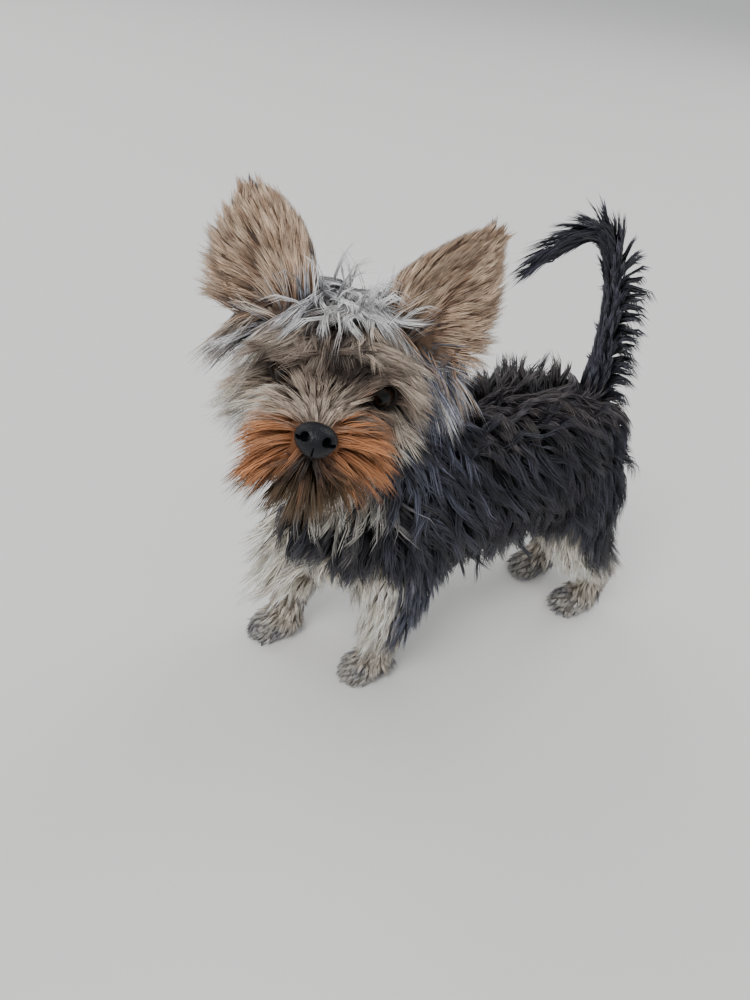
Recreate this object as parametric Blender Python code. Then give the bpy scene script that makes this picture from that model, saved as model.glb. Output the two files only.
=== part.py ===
"""A Yorkshire terrier puppy, standing with its head turned to its left, as a still life-size model.

Metres. +X is the dog's left, +Y is towards its tail and +Z is up. The soles are at Z = 0.
Flesh is swept through elliptical sections, the long coat is made of flat tapered locks, and every
node is cut clear of the one that it grows from by a thin gap.
"""

import math
import random

import bmesh
import bpy
from mathutils import Matrix, Vector

for old in list(bpy.data.objects):
    bpy.data.objects.remove(old, do_unlink=True)

# Driving dimensions
CUT_GROWTH = 0.0004
EDGE_GROWTH = 6
CORE = 0.4
HEAD_FILL = 0.3
LOCK_SINK = 0.005
LOCK_BEND = 0.42
SEED = 11

LEFT = Vector((1, 0, 0))
DOWN = Vector((0, 0, -1))

# The head turns left to look up at its keeper. Its own frame has the same axes as the body's,
# with its origin between the eyes.
HEAD_AT = Vector((0.0204, -0.1013, 0.193))
HEAD_TURN = math.radians(62.5)
HEAD_LIFT = math.radians(9)
HEAD_TILT = math.radians(10)
HEAD = (
    Matrix.Translation(HEAD_AT)
    @ Matrix.Rotation(HEAD_TURN, 4, "Z")
    @ Matrix.Rotation(-HEAD_LIFT, 4, "X")
    @ Matrix.Rotation(HEAD_TILT, 4, "Y")
)

# Sections of a form: its centre, the halves of its flesh, the halves of its coat, out to the tips,
# and how far the coat hangs below the flesh's middle
TORSO = [
    ((0, -0.100, 0.106), (0.008, 0.010), (0.016, 0.020), 0.000),
    ((0, -0.095, 0.106), (0.018, 0.024), (0.034, 0.038), -0.001),
    ((0, -0.082, 0.107), (0.028, 0.038), (0.045, 0.054), -0.002),
    ((0, -0.058, 0.110), (0.033, 0.044), (0.050, 0.060), -0.004),
    ((0, -0.028, 0.112), (0.034, 0.044), (0.051, 0.061), -0.003),
    ((0, 0.005, 0.115), (0.033, 0.041), (0.050, 0.059), -0.002),
    ((0, 0.032, 0.117), (0.031, 0.036), (0.048, 0.055), -0.001),
    ((0, 0.052, 0.116), (0.029, 0.033), (0.044, 0.051), 0.000),
    ((0, 0.067, 0.113), (0.023, 0.027), (0.035, 0.041), 0.001),
    ((0, 0.077, 0.110), (0.012, 0.015), (0.020, 0.023), 0.002),
]
NECK = [
    ((0.000, -0.050, 0.128), (0.030, 0.031), (0.044, 0.044), 0.000),
    ((-0.002, -0.064, 0.146), (0.028, 0.029), (0.044, 0.044), 0.000),
    ((-0.003, -0.076, 0.162), (0.025, 0.026), (0.037, 0.037), 0.000),
    ((-0.003, -0.080, 0.174), (0.020, 0.021), (0.024, 0.024), 0.000),
]
SKULL = [
    ((0, -0.0065, -0.001), (0.011, 0.009), (0.013, 0.011), 0.000),
    ((0, -0.002, 0.002), (0.020, 0.016), (0.023, 0.019), 0.000),
    ((0, 0.008, 0.004), (0.026, 0.021), (0.033, 0.027), 0.000),
    ((0, 0.022, 0.004), (0.029, 0.024), (0.043, 0.031), 0.000),
    ((0, 0.036, 0.003), (0.028, 0.024), (0.045, 0.031), 0.000),
    ((0, 0.048, 0.000), (0.023, 0.020), (0.036, 0.028), 0.000),
    ((0, 0.056, -0.003), (0.013, 0.012), (0.024, 0.020), 0.000),
    ((0, 0.059, -0.004), (0.006, 0.005), (0.013, 0.011), 0.000),
]
CHEEKS = [
    ((0, 0.010, -0.014), (0.020, 0.012), (0.031, 0.020), 0.006),
    ((0, 0.020, -0.012), (0.023, 0.014), (0.045, 0.032), 0.008),
    ((0, 0.034, -0.010), (0.022, 0.014), (0.048, 0.033), 0.008),
    ((0, 0.047, -0.008), (0.016, 0.010), (0.034, 0.024), 0.006),
]
MUZZLE = [
    ((0, -0.0300, -0.0135), (0.0078, 0.0058), (0.0085, 0.0060), 0.002),
    ((0, -0.025, -0.0130), (0.0112, 0.0080), (0.0150, 0.0085), 0.005),
    ((0, -0.017, -0.0120), (0.0130, 0.0092), (0.0230, 0.0110), 0.007),
    ((0, -0.004, -0.0105), (0.0150, 0.0112), (0.0280, 0.0140), 0.006),
    ((0, 0.012, -0.0100), (0.0175, 0.0135), (0.0290, 0.0180), 0.002),
]
JAW = [
    ((0, -0.0225, -0.0248), (0.0040, 0.0024), (0.0050, 0.0034), 0.003),
    ((0, -0.018, -0.0250), (0.0070, 0.0038), (0.0130, 0.0085), 0.008),
    ((0, -0.009, -0.0252), (0.0096, 0.0048), (0.0250, 0.0165), 0.013),
    ((0, 0.004, -0.0250), (0.0118, 0.0056), (0.0340, 0.0220), 0.012),
    ((0, 0.022, -0.0240), (0.0140, 0.0075), (0.0400, 0.0270), 0.006),
]
# The ears, in the head's frame: the left one is turned up and stands higher than the right
EARS = {
    "left": [
        ((0.0270, 0.026, 0.0060), (0.0155, 0.0110), (0.0175, 0.0115), 0.000),
        ((0.0310, 0.027, 0.0223), (0.0210, 0.0112), (0.0235, 0.0117), 0.000),
        ((0.0345, 0.028, 0.0353), (0.0215, 0.0092), (0.0245, 0.0097), 0.000),
        ((0.0380, 0.028, 0.0456), (0.0172, 0.0068), (0.0200, 0.0073), 0.000),
        ((0.0411, 0.027, 0.0560), (0.0102, 0.0045), (0.0125, 0.0049), 0.000),
        ((0.0445, 0.026, 0.0645), (0.0042, 0.0025), (0.0055, 0.0027), 0.000),
    ],
    "right": [
        ((-0.0270, 0.026, 0.0060), (0.0155, 0.0110), (0.0175, 0.0115), 0.000),
        ((-0.0325, 0.027, 0.0180), (0.0205, 0.0112), (0.0235, 0.0117), 0.000),
        ((-0.0382, 0.029, 0.0300), (0.0208, 0.0092), (0.0240, 0.0097), 0.000),
        ((-0.0418, 0.031, 0.0400), (0.0168, 0.0068), (0.0195, 0.0073), 0.000),
        ((-0.0452, 0.033, 0.0465), (0.0110, 0.0045), (0.0130, 0.0049), 0.000),
        ((-0.0485, 0.034, 0.0515), (0.0045, 0.0025), (0.0055, 0.0027), 0.000),
    ],
}
EAR_WALL = 0.0028
EAR_FACING = math.radians(22)
EYE_RADIUS = 0.0063
EYE_AT = Vector((0.0198, 0.0035, 0.0))
EYE_OUTWARD = math.radians(24)
LID_RADIUS = 0.0062
LID_THICKNESS = 0.0018
LID_FORWARD = 0.0030
NOSE_AT = Vector((0, -0.0345, -0.0112))
NOSE_HALVES = (0.0078, 0.0064, 0.0064)
MOUTH_AT = Vector((0, -0.0120, -0.0200))
MOUTH_HALVES = (0.0150, 0.0200, 0.0008)
NOSTRIL_AT = Vector((0.0037, -0.0400, -0.0108))
NOSTRIL_HALVES = (0.0017, 0.0040, 0.0016)

# Each leg from inside the trunk down to its pastern
FRONT_LEG = [
    ((0.012, 0.019), (0.020, 0.026)),
    ((0.0125, 0.017), (0.021, 0.026)),
    ((0.0115, 0.0135), (0.020, 0.023)),
    ((0.0090, 0.0100), (0.0165, 0.0185)),
    ((0.0078, 0.0085), (0.0130, 0.0145)),
    ((0.0078, 0.0085), (0.0110, 0.0120)),
    ((0.0070, 0.0078), (0.0095, 0.0105)),
]
HIND_LEG = [
    ((0.012, 0.024), (0.021, 0.034)),
    ((0.0135, 0.025), (0.023, 0.035)),
    ((0.0125, 0.020), (0.022, 0.030)),
    ((0.0100, 0.0135), (0.0185, 0.0225)),
    ((0.0078, 0.0095), (0.0140, 0.0165)),
    ((0.0070, 0.0085), (0.0120, 0.0140)),
    ((0.0068, 0.0078), (0.0110, 0.0125)),
    ((0.0074, 0.0080), (0.0105, 0.0115)),
    ((0.0070, 0.0078), (0.0095, 0.0105)),
]
HOCK = 4
LEGS = {
    "front_left_leg": (FRONT_LEG, [
        (0.022, -0.062, 0.112), (0.026, -0.060, 0.092), (0.027, -0.058, 0.074),
        (0.0255, -0.059, 0.052), (0.0235, -0.061, 0.030), (0.0225, -0.062, 0.014),
        (0.0220, -0.063, 0.006),
    ], (0.0220, -0.0655)),
    "front_right_leg": (FRONT_LEG, [
        (-0.022, -0.070, 0.112), (-0.026, -0.071, 0.092), (-0.028, -0.074, 0.074),
        (-0.0265, -0.083, 0.052), (-0.0245, -0.093, 0.030), (-0.0235, -0.099, 0.014),
        (-0.0230, -0.101, 0.006),
    ], (-0.0230, -0.1035)),
    "hind_left_leg": (HIND_LEG, [
        (0.018, 0.058, 0.122), (0.024, 0.055, 0.102), (0.026, 0.053, 0.082),
        (0.0245, 0.062, 0.062), (0.0220, 0.077, 0.044), (0.0205, 0.086, 0.034),
        (0.0195, 0.087, 0.022), (0.0190, 0.086, 0.012), (0.0188, 0.084, 0.006),
    ], (0.0185, 0.0810)),
    "hind_right_leg": (HIND_LEG, [
        (-0.018, 0.056, 0.122), (-0.024, 0.051, 0.102), (-0.026, 0.047, 0.082),
        (-0.0245, 0.055, 0.062), (-0.0220, 0.070, 0.044), (-0.0205, 0.079, 0.034),
        (-0.0195, 0.080, 0.022), (-0.0190, 0.078, 0.012), (-0.0188, 0.076, 0.006),
    ], (-0.0185, 0.0730)),
}
PAW_HALVES = (0.0105, 0.0125, 0.0100)
PAW_HEIGHT = 0.0055
TOE_RADIUS = 0.0044
TOE_SPREAD = 0.0050
TOE_REACH = 0.0105

# The tail rises from the croup and curls forward over the back, in three lengths
TAIL_COAT = 0.006
TAIL = {
    "tail_base": [
        ((0.000, 0.054, 0.138), 0.0085),
        ((0.000, 0.0575, 0.154), 0.0078),
        ((0.000, 0.0580, 0.170), 0.0070),
        ((0.000, 0.0565, 0.184), 0.0064),
    ],
    "tail_middle": [
        ((0.000, 0.0570, 0.181), 0.0060),
        ((0.000, 0.0540, 0.197), 0.0058),
        ((0.000, 0.0490, 0.211), 0.0053),
        ((0.000, 0.0435, 0.222), 0.0048),
    ],
    "tail_tip": [
        ((0.000, 0.0450, 0.2195), 0.0044),
        ((0.000, 0.0375, 0.231), 0.0042),
        ((0.000, 0.0280, 0.2365), 0.0038),
        ((0.000, 0.0170, 0.2340), 0.0032),
        ((0.000, 0.0060, 0.2280), 0.0020),
    ],
}

# How wide and how thick a lock is along its length, as shares of its fullest
LOCK_PROFILE = [(0.0, 0.60, 1.0), (0.26, 1.0, 0.95), (0.56, 0.86, 0.72), (0.82, 0.50, 0.42)]
RIDGE_SHARE = 0.866

# The sizes of the locks: width, thickness, and height over the skin
BODY_LOCK = (0.0220, 0.0050, 0.0100)
RUFF_LOCK = (0.0170, 0.0045, 0.0090)
CROWN_LOCK = (0.0155, 0.0036, 0.0040)
CHEEK_LOCK = (0.0160, 0.0038, 0.0090)
BEARD_LOCK = (0.0120, 0.0034, 0.0060)
CHEST_LOCK = (0.0180, 0.0050)
RUMP_LOCK = (0.0170, 0.0045)
LEG_LOCK = (0.0135, 0.0038, 0.0050)
FEATHER = (0.0085, 0.0030, 0.0070)
EAR_FRINGE = (0.0120, 0.0024, 0.0050)

COLOURS = {
    "black_coat": ((0.022, 0.021, 0.028, 1), 0.65),
    "silver_coat": ((0.34, 0.31, 0.30, 1), 0.7),
    "tan_coat": ((0.50, 0.30, 0.17, 1), 0.7),
    "cream_coat": ((0.52, 0.44, 0.36, 1), 0.7),
    "eye": ((0.012, 0.008, 0.007, 1), 0.05),
    "nose_leather": ((0.020, 0.021, 0.026, 1), 0.4),
}


def section(centre, along, side, half_width, half_depth):
    """A section's place: its own Z runs along the form and its own X across it."""
    z = along.normalized()
    x = (side - side.dot(z) * z).normalized()
    y = z.cross(x)
    turn = Matrix((x, y, z)).transposed().to_4x4()
    turn.translation = centre
    return turn @ Matrix.Diagonal((half_width, half_depth, 1, 1))


def swept(sections, sides, tip=None):
    """One closed skin, extruded from section to section, and drawn to a point at tip if there is one."""
    bm = bmesh.new()
    bmesh.ops.create_circle(bm, cap_ends=True, segments=sides, radius=1, matrix=sections[0])
    bm.faces.ensure_lookup_table()
    cap = bm.faces[0]
    for before, after in zip(sections, sections[1:]):
        grown = bmesh.ops.extrude_face_region(bm, geom=[cap, *cap.edges])["geom"]
        cap = next(g for g in grown if isinstance(g, bmesh.types.BMFace))
        bmesh.ops.transform(bm, matrix=after @ before.inverted(), verts=cap.verts)
    if tip is not None:
        bmesh.ops.pointmerge(bm, verts=list(cap.verts), merge_co=tip)
    bmesh.ops.recalc_face_normals(bm, faces=bm.faces)
    bmesh.ops.triangulate(bm, faces=bm.faces, quad_method="FIXED")
    return bm


def piece(bm, name):
    """An object made from a bmesh, in the scene's own collection until a node takes it."""
    mesh = bpy.data.meshes.new(name)
    bm.to_mesh(mesh)
    bm.free()
    obj = bpy.data.objects.new(name, mesh)
    bpy.context.scene.collection.objects.link(obj)
    return obj


class Form:
    """Flesh swept through elliptical sections, under a coat that fills it out by a share, its fill."""

    def __init__(self, stations, side=LEFT, place=None, sides=12, fill=CORE):
        place = place or Matrix.Identity(4)
        self.side = (place.to_3x3() @ side).normalized()
        self.sides = sides
        self.centres = []
        self.halves = []
        self.reach = fill * (stations[0][2][0] - stations[0][1][0])
        for centre, flesh, coat, hang in stations:
            self.centres.append(place @ (Vector(centre) + DOWN * hang * fill))
            self.halves.append([f + (c - f) * fill for f, c in zip(flesh, coat)])

    def along(self, i):
        before = self.centres[max(i - 1, 0)]
        after = self.centres[min(i + 1, len(self.centres) - 1)]
        return (after - before).normalized()

    def build(self, grow=0.0):
        made = []
        last = len(self.centres) - 1
        for i, (centre, (wide, deep)) in enumerate(zip(self.centres, self.halves)):
            if i in (0, last):
                centre = centre + self.along(i) * (self.reach + grow) * (1 if i else -1)
            made.append(section(centre, self.along(i), self.side, wide + grow, deep + grow))
        return piece(swept(made, self.sides), "form")

    def surface(self, share, angle, height=0.0):
        """The point this high over the skin, at a share of the length and an angle round it.

        The angle runs from the form's far side from its own Y axis, which is the top of a body
        that lies along +Y, towards its side axis. The normal comes back with the point.
        """
        spot = share * (len(self.centres) - 1)
        i = max(0, min(int(spot), len(self.centres) - 2))
        part = spot - i
        held = max(0.0, min(part, 1.0))
        z = self.along(i).lerp(self.along(i + 1), held).normalized()
        centre = self.centres[i].lerp(self.centres[i + 1], part)
        wide, deep = (a + (b - a) * held for a, b in zip(self.halves[i], self.halves[i + 1]))
        x = (self.side - self.side.dot(z) * z).normalized()
        y = x.cross(z)
        across, up = math.sin(angle), math.cos(angle)
        reach = 1 / math.sqrt((across / wide) ** 2 + (up / deep) ** 2)
        normal = (x * (across / wide**2) + y * (up / deep**2)).normalized()
        return centre + (x * across + y * up) * reach + normal * height, normal

    def lock(self, start, end, size, height=None, droop=0.0):
        """A lock from one place on this form, as a share and an angle in degrees, over another."""
        width, thick, lift = size
        lift = lift if height is None else height
        (share, angle), (share_end, angle_end) = start, end
        angle, angle_end = math.radians(angle), math.radians(angle_end)
        root, normal = self.surface(share, angle, -LOCK_SINK)
        bend, _ = self.surface(
            share + (share_end - share) * LOCK_BEND,
            angle + (angle_end - angle) * LOCK_BEND,
            lift * 1.15,
        )
        tip, _ = self.surface(share_end, angle_end, lift * 0.8)
        return Lock((root, bend, tip + DOWN * droop), normal, width, thick)


def hair(form, start, tip, size, bow, facing=None):
    """A lock from a share and an angle on the form to a tip in the head's own frame.

    Its flat side looks along facing, a direction in the head's frame, or along the skin's normal.
    """
    width, thick, _ = size
    share, angle = start
    root, normal = form.surface(share, math.radians(angle), -LOCK_SINK)
    tip = HEAD @ Vector(tip)
    flat = HEAD.to_3x3() @ Vector(facing) if facing else normal
    return Lock((root, root.lerp(tip, LOCK_BEND) + normal * bow, tip), flat, width, thick)


class Lock:
    """A flat tapered lock that rises from its root and bends over along the lie of the coat."""

    def __init__(self, points, normal, width, thick):
        self.start, self.bend, self.end = points
        self.normal = normal
        self.width, self.thick = width, thick

    def at(self, share):
        """The place and the direction of the lock's middle line at this share of its length."""
        here = self.start.lerp(self.bend, share).lerp(self.bend.lerp(self.end, share), share)
        way = (self.bend - self.start).lerp(self.end - self.bend, share)
        return here, way.normalized()

    def build(self, grow=0.0):
        made = []
        for share, wide, thin in LOCK_PROFILE:
            here, way = self.at(share)
            if share == 0:
                here = here - way * grow
            across = self.normal.cross(way)
            half = self.width / 2 * wide / RIDGE_SHARE + EDGE_GROWTH * grow
            made.append(section(here, way, across, half, self.thick / 2 * thin + 2 * grow))
        beyond = (self.end - made[-2].translation).normalized() * EDGE_GROWTH * grow
        return piece(swept(made, 3, self.end + beyond), "lock")


class Ball:
    """An ellipsoid, such as an eye, a toe or the pad of a nose."""

    def __init__(self, centre, halves, place=None, segments=12, rings=8):
        self.centre, self.halves = Vector(centre), halves
        self.place = place or Matrix.Identity(4)
        self.segments, self.rings = segments, rings

    def build(self, grow=0.0):
        sizes = [half + grow for half in self.halves]
        bm = bmesh.new()
        matrix = self.place @ Matrix.Translation(self.centre) @ Matrix.Diagonal((*sizes, 1))
        bmesh.ops.create_uvsphere(
            bm, u_segments=self.segments, v_segments=self.rings, radius=1, matrix=matrix
        )
        bmesh.ops.recalc_face_normals(bm, faces=bm.faces)
        return piece(bm, "ball")


def ear_side(side_sign):
    """Across the ear: its cup opens forward and a little outward."""
    return Vector((math.cos(EAR_FACING), side_sign * math.sin(EAR_FACING), 0))


def ear_cup(stations, side_sign):
    """The form that hollows the cup: a little smaller than the ear, and set forward of it."""
    forward = Vector((side_sign * math.sin(EAR_FACING), -math.cos(EAR_FACING), 0))
    hollow = []
    for (x, y, z), _, (wide, deep), hang in stations:
        centre = Vector((x, y, z + EAR_WALL)) + forward * (deep * 0.9)
        halves = (max(wide - EAR_WALL, 0.002), max(deep * 1.05, 0.002))
        hollow.append((tuple(centre), halves, halves, hang))
    return Form(hollow, ear_side(side_sign), HEAD, sides=10)


def lid_place(side_sign):
    """The place of the lids' rim round one eye."""
    turn = Matrix.Rotation(side_sign * EYE_OUTWARD, 4, "Z")
    centre = Vector((side_sign * EYE_AT.x, EYE_AT.y, EYE_AT.z))
    return HEAD @ Matrix.Translation(centre) @ turn @ Matrix.Diagonal((1.08, 1, 0.86, 1))


class Ring:
    """The rims of the lids: a ring of sections swept round the eye and joined end to end."""

    def __init__(self, place, radius, thickness, count=10, sides=4):
        self.place, self.radius, self.thickness = place, radius, thickness
        self.count, self.sides = count, sides

    def build(self, grow=0.0):
        bm = bmesh.new()
        start = Matrix.Translation((self.radius, -LID_FORWARD, 0))
        bmesh.ops.create_circle(
            bm, segments=self.sides, radius=self.thickness / 2 + grow, matrix=start
        )
        bmesh.ops.spin(
            bm,
            geom=bm.verts[:] + bm.edges[:],
            cent=(0, 0, 0),
            axis=(0, 1, 0),
            angle=2 * math.pi,
            steps=self.count,
            use_merge=True,
        )
        bmesh.ops.transform(bm, matrix=self.place, verts=bm.verts)
        bmesh.ops.recalc_face_normals(bm, faces=bm.faces)
        return piece(bm, "ring")


def evaluated_mesh(obj):
    graph = bpy.context.evaluated_depsgraph_get()
    return bpy.data.meshes.new_from_object(obj.evaluated_get(graph))


def combine(base, others, operation):
    """Joins the other objects to the base, or cuts them from it, and removes them."""
    if not others:
        return
    group = bpy.data.collections.new("helpers")
    bpy.context.scene.collection.children.link(group)
    for other in others:
        bpy.context.scene.collection.objects.unlink(other)
        group.objects.link(other)
    change = base.modifiers.new("combine", "BOOLEAN")
    change.operation = operation
    change.operand_type = "COLLECTION"
    change.collection = group
    change.solver = "MANIFOLD"
    bpy.context.view_layer.update()
    made = evaluated_mesh(base)
    base.modifiers.clear()
    base.data = made
    for other in others:
        bpy.data.objects.remove(other, do_unlink=True)
    bpy.data.collections.remove(group)


def keep_largest(obj):
    """Drops every closed surface of the object but its largest."""
    bm = bmesh.new()
    bm.from_mesh(obj.data)
    left = set(bm.verts)
    islands = []
    while left:
        stack = [left.pop()]
        island = set(stack)
        while stack:
            for edge in stack.pop().link_edges:
                for vert in edge.verts:
                    if vert in left:
                        left.discard(vert)
                        island.add(vert)
                        stack.append(vert)
        islands.append(island)
    largest = max(islands, key=len)
    bmesh.ops.delete(bm, geom=[v for v in bm.verts if v not in largest], context="VERTS")
    bm.to_mesh(obj.data)
    bm.free()


class Node:
    """One named part: forms joined, hollows cut, locks joined, and its neighbours' room cut away."""

    def __init__(self, name, colour, forms, hollows=(), locks=(), around=()):
        self.name, self.colour = name, colour
        self.forms, self.hollows, self.locks = list(forms), list(hollows), list(locks)
        self.around = around

    def build(self, nodes):
        obj = self.forms[0].build()
        combine(obj, [form.build() for form in self.forms[1:]], "UNION")
        combine(obj, [hollow.build() for hollow in self.hollows], "DIFFERENCE")
        combine(obj, [lock.build() for lock in self.locks], "UNION")
        beside = [nodes[name] for name in self.around]
        room = [form.build(CUT_GROWTH) for node in beside for form in node.forms + node.locks]
        combine(obj, room, "DIFFERENCE")
        keep_largest(obj)
        obj.name = obj.data.name = self.name
        obj.data.materials.clear()
        obj.data.materials.append(material(self.colour))
        return obj


class Floor:
    """The room below the soles, cut from each paw so that it stands flat."""

    def build(self, grow=0.0):
        bm = bmesh.new()
        size = Matrix.Diagonal((0.6, 0.6, 0.1, 1))
        bmesh.ops.create_cube(bm, size=1, matrix=Matrix.Translation((0, 0, -0.05)) @ size)
        return piece(bm, "floor")


def material(name):
    made = bpy.data.materials.get(name)
    if made is None:
        made = bpy.data.materials.new(name)
        made.use_nodes = True
        shader = made.node_tree.nodes["Principled BSDF"]
        colour, roughness = COLOURS[name]
        shader.inputs["Base Color"].default_value = colour
        shader.inputs["Roughness"].default_value = roughness
        shader.inputs["Metallic"].default_value = 0.0
    return made


def jitter(chance, value, spread):
    return value + chance.uniform(-spread, spread)


def body_coat(form, chance):
    """Locks in rows from the withers to the rump, flowing back and down, a chest and a rump."""
    made = []
    for row in range(6):
        share = 0.07 + 0.145 * row
        for place in range(9):
            angle = -128 + 32 * place + (16 if row % 2 else 0)
            if abs(angle) > 140:
                continue
            start = jitter(chance, share, 0.02), jitter(chance, angle, 6)
            down = math.copysign(16 + 0.14 * abs(angle), start[1])
            end = min(start[0] + jitter(chance, 0.19, 0.02), 0.97), start[1] + down
            made.append(form.lock(start, end, BODY_LOCK, jitter(chance, 0.0095, 0.0015)))
    for place in range(-2, 3):
        x = 0.014 * place
        root = Vector((x, -0.088, 0.122))
        bend = Vector((x * 1.25, -0.116, 0.112))
        tip = Vector((x * 1.5, jitter(chance, -0.109, 0.003), jitter(chance, 0.082, 0.005)))
        made.append(Lock((root, bend, tip), Vector((x * 5, -1, 0.2)), *CHEST_LOCK))
    for place in (-1, 0, 1):
        x = 0.012 * place
        root = Vector((x, 0.070, 0.124 - 0.004 * abs(place)))
        bend = Vector((x * 1.3, 0.096, 0.120))
        tip = Vector((x * 1.5, 0.091, jitter(chance, 0.083, 0.003)))
        made.append(Lock((root, bend, tip), Vector((x * 20, 1, 0.2)), *RUMP_LOCK))
    return made


def ruff(form, chance):
    """Locks that fall down and back from the nape and the throat."""
    made = []
    for row in range(2):
        for place in range(6):
            angle = 60 * place + 30 * row
            start = jitter(chance, 0.80 - 0.35 * row, 0.03), jitter(chance, angle, 5)
            end = start[0] - 0.62, start[1]
            made.append(form.lock(start, end, RUFF_LOCK, jitter(chance, 0.009, 0.0015)))
    return made


def head_coat(skull, muzzle, jaw, chance):
    """Locks parted along the crown, brows, cheeks, a moustache that sweeps out, and a beard."""
    made = []
    for sign in (1, -1):
        for row in range(4):
            start = 0.34 + 0.15 * row, sign * jitter(chance, 5, 2)
            end = start[0] + jitter(chance, 0.07, 0.02), sign * jitter(chance, 66, 5)
            made.append(skull.lock(start, end, CROWN_LOCK, jitter(chance, 0.0055, 0.001)))
            start = 0.42 + 0.14 * row, sign * jitter(chance, 46, 4)
            end = start[0] + jitter(chance, 0.10, 0.02), sign * jitter(chance, 112, 6)
            made.append(skull.lock(start, end, CROWN_LOCK, jitter(chance, 0.0065, 0.001)))
        for place in range(3):
            start = 0.40, sign * jitter(chance, 8 + 23 * place, 2)
            tip = (sign * (0.006 + 0.010 * place), -0.012 + 0.003 * place, 0.0085)
            made.append(hair(skull, start, tip, CROWN_LOCK, 0.008))
        for row in range(3):
            for place in range(3):
                start = 0.38 + 0.15 * row, sign * jitter(chance, 86 + 22 * place, 3)
                tip = (
                    sign * jitter(chance, 0.0505 + 0.001 * row - 0.003 * place, 0.002),
                    0.014 + 0.012 * row,
                    jitter(chance, -0.010 - 0.017 * place, 0.002),
                )
                made.append(hair(skull, start, tip, CHEEK_LOCK, 0.006, (sign * 0.6, -0.7, 0.3)))
        for place in range(5):
            start = 0.28 + 0.14 * place, sign * jitter(chance, 98, 5)
            tip = (
                sign * jitter(chance, 0.023 + 0.0035 * place, 0.001),
                -0.022 + 0.0085 * place,
                jitter(chance, -0.037, 0.002),
            )
            made.append(hair(muzzle, start, tip, BEARD_LOCK, 0.006, (sign * 0.5, -1, 0.3)))
        for place in range(4):
            start = 0.42 + 0.15 * place, sign * jitter(chance, 62, 4)
            tip = (
                sign * jitter(chance, 0.026 + 0.004 * place, 0.001),
                -0.015 + 0.010 * place,
                jitter(chance, -0.024, 0.002),
            )
            made.append(hair(muzzle, start, tip, BEARD_LOCK, 0.005, (sign * 0.5, -1, 0.5)))
    for place in range(-3, 4):
        start = 0.34 + 0.08 * abs(place), 180 + jitter(chance, 22, 2) * place
        tip = (0.0085 * place, -0.014 + 0.004 * abs(place), -0.055 + 0.003 * abs(place))
        made.append(hair(jaw, start, tip, BEARD_LOCK, 0.004, (0.15 * place, -1, 0)))
    return made


def leg_coat(form, chance, rows):
    """Locks that hang down a leg, in rows, and end clear of the floor."""
    made = []
    for row in range(rows):
        for place in range(4):
            start = 0.22 + 0.18 * row, jitter(chance, 90 * place + 45 * (row % 2), 8)
            end = start[0] + jitter(chance, 0.24, 0.02), start[1]
            made.append(form.lock(start, end, LEG_LOCK, jitter(chance, 0.005, 0.001)))
    return made


def feathering(form, chance):
    """Locks along a length of the tail, which stream towards its tip and stand out behind it."""
    made = []
    for row in range(3):
        for place in range(3):
            start = 0.10 + 0.28 * row, jitter(chance, 120 * place + 60 * (row % 2), 8)
            end = start[0] + 0.46, start[1]
            made.append(form.lock(start, end, FEATHER, jitter(chance, 0.008, 0.002)))
    return made


def ear_fringe(form, chance):
    """Locks up both edges of an ear."""
    made = []
    for edge in (90, -90):
        for place in range(4):
            start = 0.10 + 0.20 * place, edge
            end = start[0] + jitter(chance, 0.32, 0.02), edge
            made.append(form.lock(start, end, EAR_FRINGE, jitter(chance, 0.0050, 0.001)))
    return made


def paw(x, y):
    """A paw and its four toes, over the place where it stands."""
    forms = [Ball((x, y, PAW_HEIGHT), PAW_HALVES, None, 10, 6)]
    for place in (-1.5, -0.5, 0.5, 1.5):
        reach = TOE_REACH - 0.0016 * place**2
        spot = (x + place * TOE_SPREAD, y - reach, TOE_RADIUS * 0.9)
        forms.append(Ball(spot, (TOE_RADIUS * 0.8, TOE_RADIUS * 1.25, TOE_RADIUS), None, 7, 5))
    return forms


def leg_nodes(name, chance):
    """A front leg, or a hind leg in two lengths that meet at the hock."""
    halves, line, stands = LEGS[name]
    stations = [(centre, flesh, coat, 0.0) for centre, (flesh, coat) in zip(line, halves)]
    if name.startswith("front"):
        leg = Form(stations, sides=8)
        locks = leg_coat(leg, chance, 3)
        return [Node(name, "cream_coat", [leg, *paw(*stands)], [Floor()], locks, ["torso"])]
    thigh, shank = Form(stations[:HOCK + 1], sides=8), Form(stations[HOCK:], sides=8)
    foot = name.replace("leg", "foot")
    return [
        Node(name, "cream_coat", [thigh], [], leg_coat(thigh, chance, 3), ["torso"]),
        Node(foot, "cream_coat", [shank, *paw(*stands)], [Floor()], leg_coat(shank, chance, 1),
             [name]),
    ]


def tail_nodes(chance):
    made = []
    before = "torso"
    for name, line in TAIL.items():
        stations = [(c, (r, r), (r + TAIL_COAT, r + TAIL_COAT), 0.0) for c, r in line]
        form = Form(stations, sides=8)
        made.append(Node(name, "black_coat", [form], [], feathering(form, chance), [before]))
        before = name
    return made


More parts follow.
